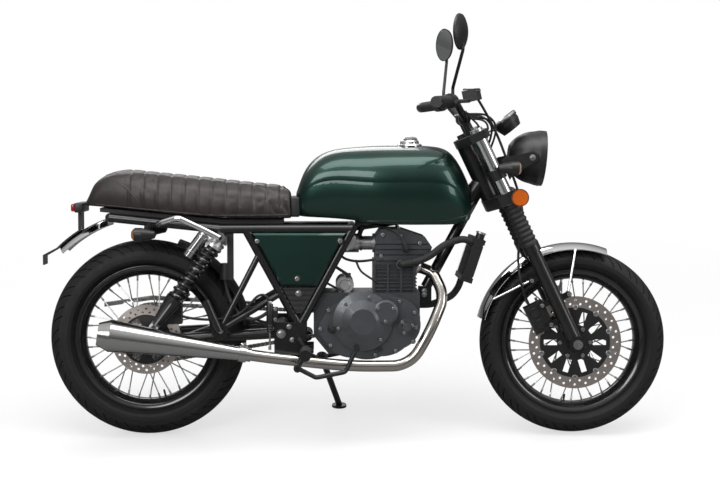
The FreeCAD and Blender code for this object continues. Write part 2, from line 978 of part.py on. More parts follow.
def disc(label, centre, offset, radius, bore, window_inner, window_outer, window_count):
    """A brake disc: the steel band, and the slotted carrier inside it."""
    body = new_body(label, Placement(centre - Vector(0, offset, 0), Rotation()))
    plate = new_sketch(body, "XZ_Plane")
    add_circle(plate, 0, 0, radius)
    add_circle(plate, 0, 0, bore)
    pad(body, plate, s.disc_thickness, midplane=True)
    holes = new_sketch(body, "XZ_Plane")
    outer_row = radius - s.disc_hole_stagger
    inner_row = radius - s.disc_hole_stagger * 2
    step = math.pi / s.disc_hole_count
    add_circle(holes, outer_row, 0, s.disc_hole_radius)
    add_circle(holes, inner_row * math.cos(step), inner_row * math.sin(step),
               s.disc_hole_radius)
    drilled = pocket_through(body, holes)
    around(body, drilled, "Y_Axis", s.disc_hole_count)
    window = new_sketch(body, "XZ_Plane")
    half = window_inner * 2 * math.pi / window_count / 4
    add_outline(window, [
        (window_inner, -half),
        (window_outer, -half),
        (window_outer, half),
        (window_inner, half),
    ])
    slot = pocket_through(body, window)
    around(body, slot, "Y_Axis", window_count)
    return keep(body, label)


def front_wheel():
    other_end = s.fork_spread - s.axle_boss_half - s.spacer_radius / 2
    tyre("front_tyre", front_axle_point, s.front_tyre_radius, s.front_tyre_half_width,
         s.front_shoulder_half, s.front_shoulder_drop)
    rim("front_rim", front_axle_point)
    spoked_hub("front_hub", front_axle_point, s.front_disc_offset, other_end)
    disc("front_disc", front_axle_point, s.front_disc_offset, s.front_disc_radius,
         s.axle_radius + s.hub_flange_half, s.front_window_inner, s.front_window_outer,
         s.front_window_count)


def rear_wheel():
    tyre("rear_tyre", rear_axle_point, s.rear_tyre_radius, s.rear_tyre_half_width,
         s.rear_shoulder_half, s.rear_shoulder_drop)
    rim("rear_rim", rear_axle_point)
    sprocket_face = s.chain_side - s.sprocket_thickness / 2
    spoked_hub("rear_hub", rear_axle_point, s.rear_disc_offset, sprocket_face)
    disc("rear_disc", rear_axle_point, s.rear_disc_offset, s.rear_disc_radius,
         s.axle_radius + s.hub_flange_half, s.rear_window_inner, s.rear_window_outer,
         s.rear_window_count)
    sprocket = new_body("SprocketDisc", Placement(rear_axle_point + Vector(0, s.chain_side, 0),
                                                   Rotation()))
    sketch = new_sketch(sprocket, "XZ_Plane")
    add_circle(sketch, 0, 0, s.sprocket_radius - s.tooth_root_drop)
    add_circle(sketch, 0, 0, s.axle_radius + s.hub_flange_half)
    pad(sprocket, sketch, s.sprocket_thickness, midplane=True)
    toothed = doc.addObject("Part::Feature", "Teeth")
    toothed.Shape = tooth_ring().extrude(Vector(0, s.sprocket_thickness, 0))
    toothed.Placement = Placement(
        rear_axle_point + Vector(0, s.chain_side - s.sprocket_thickness / 2, 0), Rotation())
    keep(fuse(sprocket, toothed), "rear_sprocket")


TOOTH_SHARES = (
    # across the tooth's pitch, up from root to tip
    (0.00, 0.0),
    (0.26, 0.0),
    (0.44, 1.0),
    (0.56, 1.0),
    (0.74, 0.0),
)


def tooth_ring():
    """The sprocket's toothed rim as a flat face about its own centre."""
    root = s.sprocket_radius - s.tooth_root_drop
    depth = s.tooth_root_drop + s.tooth_rise
    corners = []
    for tooth in range(int(s.sprocket_tooth_count)):
        for across, up in TOOTH_SHARES:
            angle = 2 * math.pi * (tooth + across) / s.sprocket_tooth_count
            reach = root + depth * up
            corners.append(Vector(math.cos(angle) * reach, 0, math.sin(angle) * reach))
    rim_face = Part.Face(Part.makePolygon(corners + corners[:1]))
    hole = Part.Wire(Part.makeCircle(root - s.tooth_root_drop, Vector(), Vector(0, 1, 0)))
    return rim_face.cut(Part.Face(hole))


def axle(label, centre, end_side, spacer_from, spacer_to):
    """A through axle with its nuts, and a spacer each side of the hub."""
    bar = cross_rod(centre, end_side + s.axle_nut_length, s.axle_radius)
    pieces = [bar]
    for side in (-1, 1):
        start = centre + Vector(0, side * end_side, 0)
        end = start + Vector(0, side * s.axle_nut_length, 0)
        pieces.append(rod(start, end, s.axle_nut_radius))
    for side, reach in ((-1, spacer_from), (1, spacer_to)):
        start = centre + Vector(0, side * (reach[0]), 0)
        end = centre + Vector(0, side * (reach[1]), 0)
        pieces.append(rod(start, end, s.spacer_radius))
    return keep(fuse(*pieces), label)


def fork_legs():
    """Lower legs with their lugs, stanchions above them and ribbed gaiters between."""
    legs = []
    for side in (-1, 1):
        leg = turned_part("LowerLeg", along(LEG_UP, fork_point(0, 0, side * s.fork_spread)), [
            (-s.slider_below_axle, 0),
            (-s.slider_below_axle, s.slider_radius),
            (s.slider_top - s.slider_collar_length, s.slider_radius),
            (s.slider_top - s.slider_collar_length, s.slider_collar_radius),
            (s.slider_top, s.slider_collar_radius),
            (s.slider_top, 0),
        ])
        pieces = [leg]
        pieces.append(cross_rod(fork_point(0, 0, side * s.fork_spread), s.axle_boss_half,
                                s.axle_boss_radius))
        lugs = [(s.fender_lug_height, s.fender_lug_forward), (s.stay_lug_height, -s.stay_lug_back)]
        if side < 0:
            lugs.append((s.caliper_lug_low, -s.caliper_lug_back))
            lugs.append((s.caliper_lug_high, -s.caliper_lug_back))
        for up, forward in lugs:
            centre = fork_point(up, forward, side * s.fork_spread)
            pieces.append(cross_rod(centre, s.lug_half, s.lug_radius))
            middle = fork_point(up, forward / 2, side * s.fork_spread)
            pieces.append(block(middle, abs(forward), s.lug_half, s.lug_radius * 2, FORK_TURN))
        bore = cross_rod(fork_point(0, 0, side * s.fork_spread), s.axle_boss_half * 2,
                         s.axle_radius + s.fit_gap)
        legs.append(cut(fuse(*pieces), bore))
    keep(group(*legs), "fork_sliders")

    tubes = [
        rod(fork_point(s.slider_top, 0, side * s.fork_spread),
            fork_point(s.stanchion_top, 0, side * s.fork_spread), s.stanchion_radius)
        for side in (-1, 1)
    ]
    keep(group(*tubes), "fork_stanchions")

    gaiters = []
    for side in (-1, 1):
        pitch = (s.gaiter_top - s.slider_top) / s.gaiter_rib_count
        corners = [(s.slider_top, s.stanchion_radius + s.fit_gap)]
        for rib in range(int(s.gaiter_rib_count)):
            corners.append((s.slider_top + pitch * rib, s.gaiter_root_radius))
            corners.append((s.slider_top + pitch * (rib + 0.5), s.gaiter_radius))
        corners.append((s.gaiter_top, s.gaiter_root_radius))
        corners.append((s.gaiter_top, s.stanchion_radius + s.fit_gap))
        gaiters.append(turned_part("Gaiter", along(LEG_UP, fork_point(0, 0, side * s.fork_spread)),
                                   corners))
    keep(group(*gaiters), "fork_gaiters")


def clamp_outline(sketch):
    """One yoke, seen from above: it holds both stanchions, and narrows to the stem."""
    reach = s.stanchion_radius + s.clamp_ear
    outer = s.fork_spread + reach
    back = s.fork_offset + s.head_tube_radius
    add_outline(sketch, [
        (reach, s.clamp_ear - outer),
        (reach, outer - s.clamp_ear),
        (reach - s.clamp_ear, outer),
        (-reach, outer),
        (-back, s.clamp_waist_half),
        (-back, -s.clamp_waist_half),
        (-reach, -outer),
        (reach - s.clamp_ear, -outer),
    ])
    for side in (-1, 1):
        add_circle(sketch, 0, side * s.fork_spread, s.stanchion_radius + s.fit_gap)


def fork_clamps():
    body = new_body("fork_clamps", Placement(front_axle_point, FORK_TURN))
    lower = new_sketch(body, "XY_Plane", s.lower_clamp_base)
    clamp_outline(lower)
    pad(body, lower, s.lower_clamp_thickness)
    stem = new_sketch(body, "XY_Plane", s.lower_clamp_base)
    add_circle(stem, -s.fork_offset, 0, s.stem_radius)
    top = s.upper_clamp_base + s.upper_clamp_thickness + s.stem_nut_rise
    pad(body, stem, top - s.lower_clamp_base)
    upper = new_sketch(body, "XY_Plane", s.upper_clamp_base)
    clamp_outline(upper)
    pad(body, upper, s.upper_clamp_thickness)
    keep(body, "fork_clamps")


def arched_fender(name, axle_point, inner_radius, half_width, drop, sheet_wall, start, sweep):
    """A curved mudguard round a wheel, from one angle through another, with an arched section."""
    outer = inner_radius + sheet_wall
    crown = (half_width * half_width + drop * drop) / (2 * drop)
    inner_half = half_width - sheet_wall / 2
    turn = Rotation(Vector(0, 1, 0), 90 - start)
    body = new_body(name, Placement(axle_point, turn))
    sketch = new_sketch(body, "YZ_Plane")
    add_outline(sketch, [
        (half_width, outer - drop),
        (-half_width, outer - drop, crown),
        (-inner_half, inner_radius - drop),
        (inner_half, inner_radius - drop, -crown),
    ])
    spun(body, sketch, sweep, backwards=True)
    return body


def front_fender():
    inner = s.front_tyre_radius + s.fender_clearance
    sheet_part = arched_fender("Fender", front_axle_point, inner, s.fender_half_width,
                               s.fender_crown_drop, s.fender_sheet, s.fender_front_angle,
                               s.fender_sweep_angle)
    stays = []
    edge = inner - s.fender_crown_drop
    for side in (-1, 1):
        lug_side = side * (s.fork_spread - s.lug_half - s.fender_stay_radius)
        for up, forward, angle in (
            (s.fender_lug_height, s.fender_lug_forward, s.fender_front_angle + 20),
            (s.stay_lug_height, -s.stay_lug_back, s.fender_front_angle + s.fender_sweep_angle - 14),
        ):
            lug = fork_point(up, forward, lug_side)
            way = math.radians(angle)
            foot = front_axle_point + Vector(
                edge * math.cos(way), side * (s.fender_half_width - s.fender_sheet),
                edge * math.sin(way)
            )
            stays.append(rod(lug, foot, s.fender_stay_radius))
            stays.append(cross_rod(lug, s.fender_stay_radius - s.fit_gap, s.lug_radius))
    keep(fuse(sheet_part, *stays), "front_fender")


def front_caliper():
    """A caliper that bridges the disc behind the right leg, and bolts to the leg's two lugs."""
    inner_face = s.front_disc_offset - s.disc_thickness / 2 - s.disc_slot_clearance
    outer_face = s.front_disc_offset + s.disc_thickness / 2 + s.disc_slot_clearance
    lug_face = s.fork_spread - s.lug_half - s.fit_gap
    inner_side = inner_face - s.caliper_wall
    middle = (s.caliper_lug_low + s.caliper_lug_high) / 2
    front = -s.caliper_lug_back + s.lug_radius
    centre = fork_point(middle, front - s.caliper_depth / 2, -(inner_side + lug_face) / 2)
    shell = block(centre, s.caliper_depth, lug_face - inner_side, s.caliper_length, FORK_TURN)
    slot = cross_rod(front_axle_point - Vector(0, s.front_disc_offset, 0),
                     (outer_face - inner_face) / 2, s.front_disc_radius + s.disc_slot_clearance)
    keep(cut(shell, slot), "front_caliper")


BRACKET_OUTLINE_SHARES = (
    # up the leg and ahead of it, as shares of the lamp's distance from the leg
    (-0.27, 0.24),
    (-0.18, 0.38),
    (-0.13, 1.10),
    (0.02, 1.16),
    (0.13, 1.08),
    (0.30, 0.36),
    (0.27, 0.24),
)


def headlamp():
    """The lamp bowl with its rim, the glass, and the two brackets from the legs."""
    tilt = math.radians(s.lamp_tilt_angle)
    ahead = Vector(math.cos(tilt), 0, -math.sin(tilt))
    centre = fork_point(s.headlamp_up, s.headlamp_forward)
    rear = s.headlamp_depth * -0.55
    front = s.headlamp_depth * 0.4
    wall = s.headlamp_wall
    bowl = turned_part("headlamp", along(ahead, centre), [
        (rear, 0),
        (rear, s.headlamp_neck_radius),
        (front - s.headlamp_rim_depth * 2, s.headlamp_radius - wall, -s.headlamp_radius * 1.1),
        (front - s.headlamp_rim_depth, s.headlamp_radius),
        (front, s.headlamp_radius),
        (front, s.lens_radius + s.fit_gap),
        (front - s.headlamp_rim_depth * 2, s.lens_radius + s.fit_gap),
        (rear + wall, s.headlamp_neck_radius - wall, s.headlamp_radius * 1.1),
        (rear + wall, 0),
    ])
    keep(bowl, "headlamp")
    crown = (s.lens_radius * s.lens_radius + s.lens_crown * s.lens_crown) / (2 * s.lens_crown)
    lens = turned_part("headlamp_lens", along(ahead, centre), [
        (front - s.lens_thickness, 0),
        (front - s.lens_thickness, s.lens_radius),
        (front, s.lens_radius),
        (front + s.lens_crown, s.overrun, crown),
        (front + s.lens_crown, 0),
    ])
    keep(lens, "headlamp_lens")

    brackets = []
    for side in (-1, 1):
        plate_side = s.headlamp_radius + s.lamp_bracket_gap + s.lamp_bracket_wall / 2
        ring_outer = s.stanchion_radius + s.lamp_bracket_wall
        up = s.headlamp_up
        ring = rod(fork_point(up - s.lamp_bracket_width / 2, 0, side * s.fork_spread),
                   fork_point(up + s.lamp_bracket_width / 2, 0, side * s.fork_spread), ring_outer)
        hole = rod(fork_point(up - s.lamp_bracket_width, 0, side * s.fork_spread),
                   fork_point(up + s.lamp_bracket_width, 0, side * s.fork_spread),
                   s.stanchion_radius + s.fit_gap)
        outline = [fork_point(up + s.headlamp_forward * up_share,
                              s.headlamp_forward * forward_share, side * plate_side)
                   for up_share, forward_share in BRACKET_OUTLINE_SHARES]
        plate = doc.addObject("Part::Feature", "BracketPlate")
        plate.Shape = Part.Face(Part.makePolygon(outline + outline[:1])).extrude(
            Vector(0, s.lamp_bracket_wall, 0))
        plate.Placement = Placement(Vector(0, -s.lamp_bracket_wall / 2, 0), Rotation())
        screw_end = centre + Vector(0, side * (s.headlamp_radius - wall), 0)
        screw = rod(centre + Vector(0, side * plate_side, 0), screw_end, s.bar_radius)
        bowl_room = turned_part("BowlRoom", along(ahead, centre), [
            (rear, 0),
            (rear, s.headlamp_radius + s.fit_gap),
            (front, s.headlamp_radius + s.fit_gap),
            (front, 0),
        ])
        brackets.append(cut(fuse(ring, plate, screw), hole, bowl_room))
    keep(group(*brackets), "lamp_brackets")


def bullet(centre, radius, length, stalk_to, stalk_radius, forward):
    """An indicator: a tapered housing with a domed lens end, on its stalk."""
    way = Vector(1 if forward else -1, 0, 0)
    shell = turned_part("Bullet", along(way, centre), [
        (length * -0.5, 0),
        (length * -0.42, radius * 0.55),
        (length * 0.1, radius),
        (length * 0.36, radius),
        (length * 0.5, radius * 0.5),
        (length * 0.5, 0),
    ])
    return fuse(shell, rod(centre, stalk_to, stalk_radius))


def front_indicators():
    pair = []
    for side in (-1, 1):
        centre = fork_point(s.front_indicator_up, s.front_indicator_forward,
                            side * s.front_indicator_side)
        plate_face = s.headlamp_radius + s.lamp_bracket_gap + s.lamp_bracket_wall + s.fit_gap
        stalk_to = Vector(centre.x, side * plate_face, centre.z)
        pair.append(bullet(centre, s.indicator_radius, s.indicator_length, stalk_to,
                           s.indicator_stalk_radius, True))
    keep(group(*pair), "front_indicators")


def side_reflectors():
    pair = []
    for side in (-1, 1):
        inner = s.fork_spread + s.stanchion_radius + s.clamp_ear + s.fit_gap
        centre = fork_point(s.reflector_up, s.reflector_forward, 0)
        start = Vector(centre.x, side * inner, centre.z)
        end = start + Vector(0, side * s.reflector_thickness, 0)
        pair.append(rod(start, end, s.reflector_radius))
    keep(group(*pair), "side_reflectors")


def gauge():
    """The round instrument, and the bracket that carries it from the upper yoke."""
    centre = fork_point(s.gauge_up, s.gauge_forward)
    tip = math.radians(s.gauge_tip_angle)
    facing = Vector(-math.sin(tip), 0, math.cos(tip))
    half = s.gauge_depth / 2
    dial = turned_part("Dial", along(facing, centre), [
        (-half, 0),
        (-half, s.gauge_radius * 0.8),
        (0, s.gauge_radius),
        (half - s.gauge_bezel_depth, s.gauge_radius),
        (half - s.gauge_bezel_depth, s.gauge_bezel_radius),
        (half, s.gauge_bezel_radius),
        (half, 0),
    ])
    reach = s.stanchion_radius + s.clamp_ear + s.fit_gap + s.gauge_bracket_thickness / 4
    under = centre - facing * (half - s.gauge_bracket_thickness)
    clamp_front = fork_point(s.upper_clamp_base + s.upper_clamp_thickness / 2, reach)
    strap_way = under - clamp_front
    middle = (under + clamp_front) * 0.5
    strap = block(middle, strap_way.Length, s.gauge_radius, s.gauge_bracket_thickness,
                  Rotation(Vector(1, 0, 0), strap_way))
    keep(fuse(dial, strap), "gauge")


def bar_point(side, distance):
    """A point on the grip run of the handlebar, measured inwards from its end."""
    end = Vector(s.bar_end_x, side * s.bar_end_side, s.bar_end_height)
    bend = Vector(s.bar_bend_x, side * s.bar_bend_side, s.bar_bend_height)
    return end + (bend - end).normalize() * distance


def handlebar():
    """The bar, its end weights, and the risers and caps that hold it on the upper yoke."""
    clamp = fork_point(s.bar_clamp_up, s.bar_clamp_forward)
    points = [bar_point(-1, s.bar_weight_length)]
    points.append(Vector(s.bar_bend_x, -s.bar_bend_side, s.bar_bend_height))
    points.append(clamp - Vector(0, s.bar_clamp_half, 0))
    points.append(clamp + Vector(0, s.bar_clamp_half, 0))
    points.append(Vector(s.bar_bend_x, s.bar_bend_side, s.bar_bend_height))
    points.append(bar_point(1, s.bar_weight_length))
    pieces = [tube(points, s.bar_radius, s.bar_bend_radius)]
    for side in (-1, 1):
        pieces.append(rod(bar_point(side, 0), bar_point(side, s.bar_weight_length),
                          s.bar_weight_radius))
        foot = fork_point(s.upper_clamp_base + s.upper_clamp_thickness, s.bar_clamp_forward,
                          side * s.riser_side)
        head = fork_point(s.bar_clamp_up, s.bar_clamp_forward, side * s.riser_side)
        pieces.append(rod(foot, head, s.riser_radius))
        pieces.append(cross_rod(head, s.riser_cap_half, s.riser_cap_radius))
    keep(fuse(*pieces), "handlebar")

    grips = []
    for side in (-1, 1):
        start = bar_point(side, s.bar_weight_length + s.fit_gap)
        inward = bar_point(side, s.bar_end_side) - start
        hole = s.bar_radius + s.fit_gap
        grips.append(turned_part("Grip", along(inward, start), [
            (0, hole),
            (0, s.grip_radius),
            (s.grip_length, s.grip_radius),
            (s.grip_length, hole),
        ]))
    keep(group(*grips), "grips")


def reservoir_centre(pivot):
    """The middle of the brake reservoir, from the lever's pivot."""
    return pivot + Vector(s.lever_radius, 0, s.reservoir_height / 2)


BRAKE_HOSE_SHARES = (
    # up the leg by the stanchion's top, ahead of it by the fork's offset, aside by its spread
    (1.048, 1.25, 1.04),
    (0.939, 1.40, 0.74),
    (0.816, 1.25, 0.60),
    (0.694, 1.05, 0.64),
    (0.599, 0.70, 0.60),
    (0.517, -0.20, 0.57),
    (0.433, -1.25, 0.72),
    (0.345, -1.90, 1.06),
)


def brake_hose():
    """The hose from the reservoir, behind the lamp and inside the leg, to the caliper's top."""
    first = s.bar_weight_length + s.grip_length + s.fit_gap * 2
    start = bar_point(-1, first)
    inward = (bar_point(-1, s.bar_end_side) - start).normalize()
    perch = start + inward * (s.switch_length + s.perch_length / 2)
    cup = reservoir_centre(perch + Vector(s.lever_forward, 0, 0))
    mouth = cup + inward * (s.reservoir_width / 2 + s.fit_gap)
    points = [mouth, mouth + inward * s.perch_radius]
    for up_share, ahead_share, side_share in BRAKE_HOSE_SHARES:
        points.append(fork_point(s.stanchion_top * up_share, s.fork_offset * ahead_share,
                                 -s.fork_spread * side_share))
    lugs_middle = (s.caliper_lug_low + s.caliper_lug_high) / 2
    caliper_top = lugs_middle + s.caliper_length / 2 + s.fit_gap
    for up in (caliper_top + s.hose_stub, caliper_top):
        points.append(fork_point(up, -s.fork_offset * 2, -s.front_disc_offset - s.overrun))
    keep(hose(points, s.brake_hose_radius), "brake_hose")


def controls():
    """Switch housings, lever perches and levers, and the brake reservoir on the right."""
    pair = []
    for side in (-1, 1):
        first = s.bar_weight_length + s.grip_length + s.fit_gap * 2
        start = bar_point(side, first)
        inward = (bar_point(side, s.bar_end_side) - start).normalize()
        hole = s.bar_radius + s.fit_gap
        length = s.switch_length + s.perch_length
        collar = turned_part("Switch", along(inward, start), [
            (0, hole),
            (0, s.switch_radius),
            (s.switch_length, s.switch_radius),
            (s.switch_length, s.perch_radius),
            (length, s.perch_radius),
            (length, hole),
        ])
        perch = start + inward * (s.switch_length + s.perch_length / 2)
        ahead = Vector(1, 0, 0)
        clear = ahead * (s.bar_radius + s.fit_gap + s.lever_radius)
        pivot = perch + ahead * s.lever_forward
        tip = pivot - inward * s.lever_length
        lever = tube([perch + clear, pivot, tip], s.lever_radius, s.perch_length / 2)
        pieces = [collar, lever]
        if side < 0:
            cup = reservoir_centre(pivot)
            pieces.append(block(cup, s.reservoir_length, s.reservoir_width,
                                s.reservoir_height, Rotation(Vector(0, 1, 0), -inward)))
        pair.append(fuse(*pieces))
    keep(group(*pair), "controls")


def mirrors():
    """Round mirrors on bent stems from the lever perches, turned to face the rider."""
    first = s.bar_weight_length + s.grip_length + s.switch_length + s.perch_length / 2
    foot = bar_point(1, first) + Vector(0, 0, s.perch_radius + s.fit_gap)
    centre = Vector(s.mirror_centre_x, s.mirror_centre_side, s.mirror_centre_height)
    turn = math.radians(s.mirror_turn_angle)
    glass_way = Vector(-math.cos(turn), -math.sin(turn), 0)
    behind = centre - glass_way * (s.mirror_rim_depth + s.mirror_stem_radius)
    knee = foot + Vector(0, 0, s.mirror_foot_rise)
    neck = behind - Vector(0, 0, s.mirror_radius)
    stem = tube([foot, knee, neck, behind], s.mirror_stem_radius, s.perch_length / 2)
    crown = (s.mirror_radius * s.mirror_radius + s.mirror_back_depth * s.mirror_back_depth) / (
        2 * s.mirror_back_depth)
    head = turned_part("MirrorHead", along(glass_way, centre), [
        (-s.mirror_rim_depth - s.mirror_back_depth, 0),
        (-s.mirror_rim_depth - s.mirror_back_depth, s.overrun),
        (-s.mirror_rim_depth, s.mirror_radius - s.overrun, -crown),
        (0, s.mirror_radius),
        (0, s.mirror_radius - s.overrun),
        (-s.overrun, s.mirror_radius - s.overrun * 2),
        (-s.overrun, 0),
    ])
    keep(both_sides(fuse(stem, head)), "mirrors")


def rail_points(side):
    """One upper frame rail, from below the tank to its end beside the tail."""
    return [
        Vector(s.rail_front_x, side * s.rail_side, s.rail_height),
        Vector(s.rail_kick_x, side * s.rail_side, s.rail_height),
        Vector(s.rail_tail_x, side * s.rail_tail_side, s.rail_tail_height),
    ]


STAY_ROOT_SHARES = (0.25, 0.66)


def frame():
    """Backbone, down tube, seat rails, the V each side, stays, pivot plates and studs."""
    r = s.frame_tube_radius
    head_low = s.lower_clamp_base + s.lower_clamp_thickness + s.running_gap
    head_high = s.upper_clamp_base - s.running_gap
    head = rod(steering_point(head_low), steering_point(head_high), s.head_tube_radius)
    bore = rod(steering_point(head_low - s.overrun), steering_point(head_high + s.overrun),
               s.stem_radius + s.fit_gap)
    pieces = [head, tube(spine_points(), s.backbone_radius, s.rail_bend_radius)]
    down_root = steering_point(s.down_tube_root_up)
    down_foot = Vector(s.down_tube_foot_x, 0, s.down_tube_foot_height)
    pieces.append(rod(down_root, down_foot, s.down_tube_radius))
    pieces.append(cross_rod(Vector(s.rail_front_x, 0, s.rail_height), s.rail_side, r))
    pieces.append(cross_rod(Vector(s.cradle_x, 0, s.cradle_foot_height), s.rail_side, r))
    pieces.append(cross_rod(Vector(s.rail_tail_x, 0, s.rail_tail_height), s.rail_tail_side, r))
    pin_half = s.arm_side + s.arm_radius + s.pivot_plate_thickness + s.running_gap
    pieces.append(cross_rod(Vector(s.pivot_x, 0, s.pivot_height), pin_half, s.pivot_pin_radius))
    pieces += engine_mounts(down_foot)
    pieces += stand_bracket()
    left = frame_side()
    keep(cut(welded(*pieces, left, mirrored(left)), bore), "frame")


def spine_points():
    """The backbone, from the steering head to the cross tube behind the tank's middle."""
    return [
        steering_point(s.backbone_root_up),
        Vector(s.backbone_bend_x, 0, s.backbone_bend_height),
        Vector(s.backbone_rear_x, 0, s.rail_height + s.backbone_drop),
    ]


def engine_mounts(down_foot):
    """Plates that hold the crankcase, at the down tube's foot and behind the crankcase."""
    wall = s.mount_plate_thickness
    front_length = s.down_tube_foot_x + s.down_tube_radius - s.engine_front_x - s.fit_gap
    rear_length = s.engine_rear_x - s.fit_gap - s.cradle_x
    front_x = s.engine_front_x + s.fit_gap + front_length / 2
    plates = []
    for side in (-1, 1):
        plates.append(block(Vector(front_x, side * (s.down_tube_radius - wall / 4),
                                   s.engine_deck - s.mount_plate_height / 4),
                            front_length, wall, s.mount_plate_height))
        plates.append(block(Vector(s.cradle_x + rear_length / 2, side * s.engine_half_width / 2,
                                   s.cradle_foot_height + wall), rear_length, wall,
                            s.mount_plate_height / 2))
    return plates


def stand_bracket():
    """The strut, the backing plate and the pin that carry the side stand."""
    foot, down, axis, travel = stand_geometry()
    face = stand_pivot - axis * (s.stand_boss_half + s.running_gap)
    back = face - axis * s.mount_plate_thickness * 2
    root = Vector(s.cradle_x, s.stand_strut_side, s.cradle_foot_height)
    pin_end = stand_pivot + axis * (s.stand_boss_half + s.running_gap)
    return [
        rod(root, back + axis * s.overrun, s.stay_tube_radius),
        rod(back, face, s.stand_boss_radius),
        rod(back, pin_end, s.stand_pin_radius),
    ]


def frame_side():
    """The left rail, V, stays, hanger, shock stud and pivot plate."""
    r = s.frame_tube_radius
    y = s.rail_side
    knot = Vector(s.cradle_x, y, s.cradle_height)
    foot = Vector(s.cradle_x, y, s.cradle_foot_height)
    pieces = [tube(rail_points(1), r, s.rail_bend_radius)]
    pieces.append(tube([Vector(s.rail_front_x, y, s.rail_height), knot, foot], r,
                       s.cradle_bend_radius))
    rear_top = Vector(s.rail_mid_x, y, s.rail_height)
    pieces.append(rod(rear_top, knot, r))
    hanger = Vector(s.hanger_x, s.hanger_side, s.hanger_height)
    for share in STAY_ROOT_SHARES:
        pieces.append(rod(rear_top + (knot - rear_top) * share, hanger, s.stay_tube_radius))
    pieces.append(cross_rod(hanger, s.hanger_plate_half, s.hanger_plate_radius))
    stud_in = Vector(s.shock_top_x, y, s.shock_top_height)
    pieces.append(rod(Vector(s.shock_top_x, y, s.rail_height), stud_in, r))
    pieces.append(rod(stud_in - Vector(0, r, 0), stud_in + Vector(0, s.shock_stud_length, 0),
                      s.mount_stud_radius))
    plate_y = s.arm_side + s.arm_radius + s.running_gap + s.pivot_plate_thickness / 2
    plate_middle = Vector((s.pivot_x + s.cradle_x) / 2, plate_y,
                          (s.pivot_height + s.cradle_foot_height) / 2 + r)
    pieces.append(block(plate_middle, s.pivot_plate_length + r * 2, s.pivot_plate_thickness,
                        s.pivot_plate_height))
    return welded(*pieces)


def swingarm():
    pivot = Vector(s.pivot_x, 0, s.pivot_height)
    pieces = [cross_rod(pivot, s.arm_side + s.arm_radius, s.pivot_radius)]
    for side in (-1, 1):
        start = pivot + Vector(0, side * s.arm_side, 0)
        end = rear_axle_point + Vector(0, side * s.arm_side, 0)
        arm_end = end + (start - end).normalize() * (s.axle_nut_radius + s.overrun * 2)
        pieces.append(rod(start, arm_end, s.arm_radius))
        pieces.append(block(end, s.arm_plate_length, s.arm_plate_thickness, s.arm_plate_height))
        lug = Vector(s.shock_foot_x, side * s.arm_side, s.shock_foot_height)
        pieces.append(rod(lug, lug + Vector(0, side * s.shock_stud_length, 0), s.mount_stud_radius))
        pieces.append(rod(lug, Vector(s.shock_foot_x, side * s.arm_side, s.rear_tyre_radius),
                          s.shock_eye_radius))
    bore = cross_rod(rear_axle_point, s.arm_side * 2, s.axle_radius + s.fit_gap)
    pin_room = cross_rod(pivot, s.arm_side * 2, s.pivot_pin_radius + s.fit_gap)
    keep(cut(fuse(*pieces), bore, pin_room), "swingarm")


def coil(seat_point, way):
    """A wound spring that stands between the damper's two seats."""
    wire = s.spring_wire_radius
    mean = s.spring_radius - wire
    rise = s.spring_length - (wire + s.fit_gap) * 2
    helix = Part.makeHelix(rise / s.spring_coil_count, rise, mean)
    ring = Part.Wire(Part.makeCircle(wire, Vector(mean, 0, 0), Vector(0, 1, 0)))
    wound = doc.addObject("Part::Feature", "Coil")
    wound.Shape = Part.Wire(helix).makePipeShell([ring], True, True)
    wound.Placement = turned_to(way, seat_point + way * (wire + s.fit_gap))
    return wound


def shocks():
    """Twin dampers with their springs and the small reserve tanks behind them."""
    dampers = []
    springs = []
    for side in (-1, 1):
        top = Vector(s.shock_top_x, side * s.shock_side, s.shock_top_height)
        foot = Vector(s.shock_foot_x, side * s.shock_side, s.shock_foot_height)
        way = foot - top
        length = way.Length
        cap = s.shock_eye_radius * 0.7
        spring_from = cap + s.shock_cap_length
        spring_to = spring_from + s.spring_length
        stem = turned_part("Damper", along(way, top), [
            (cap, 0),
            (cap, s.shock_eye_radius),
            (cap + s.shock_cap_length * 0.6, s.shock_cap_radius),
            (spring_from, s.shock_ring_radius),
            (spring_from, s.shock_body_radius),
            (spring_to, s.shock_body_radius),
            (spring_to, s.shock_ring_radius),
            (spring_to + s.shock_eye_radius / 2, s.shock_ring_radius),
            (spring_to + s.fit_gap + s.shock_eye_radius, s.shock_cap_radius),
            (length - s.shock_eye_radius * 0.5, s.shock_eye_radius),
            (length - s.shock_eye_radius * 0.5, 0),
        ])
        back = Vector(way.z, 0, -way.x).normalize()
        unit = Vector(way).normalize()
        bottle_top = top + unit * cap + back * s.reserve_tank_offset
        bottle = rod(bottle_top, bottle_top + unit * s.reserve_tank_length, s.reserve_tank_radius)
        bridge_at = top + unit * (cap + s.shock_cap_length / 2)
        bridge = rod(bridge_at, bridge_at + back * s.reserve_tank_offset, s.shock_rod_radius)
        eyes = [cross_rod(point, s.shock_eye_half, s.shock_eye_radius) for point in (top, foot)]
        holes = [cross_rod(point, s.shock_eye_half * 2, s.mount_stud_radius + s.fit_gap)
                 for point in (top, foot)]
        dampers.append(cut(fuse(stem, bottle, bridge, *eyes), *holes))
        springs.append(coil(top + unit * spring_from, unit))
    keep(group(*dampers), "shock_dampers")
    keep(group(*springs), "shock_springs")


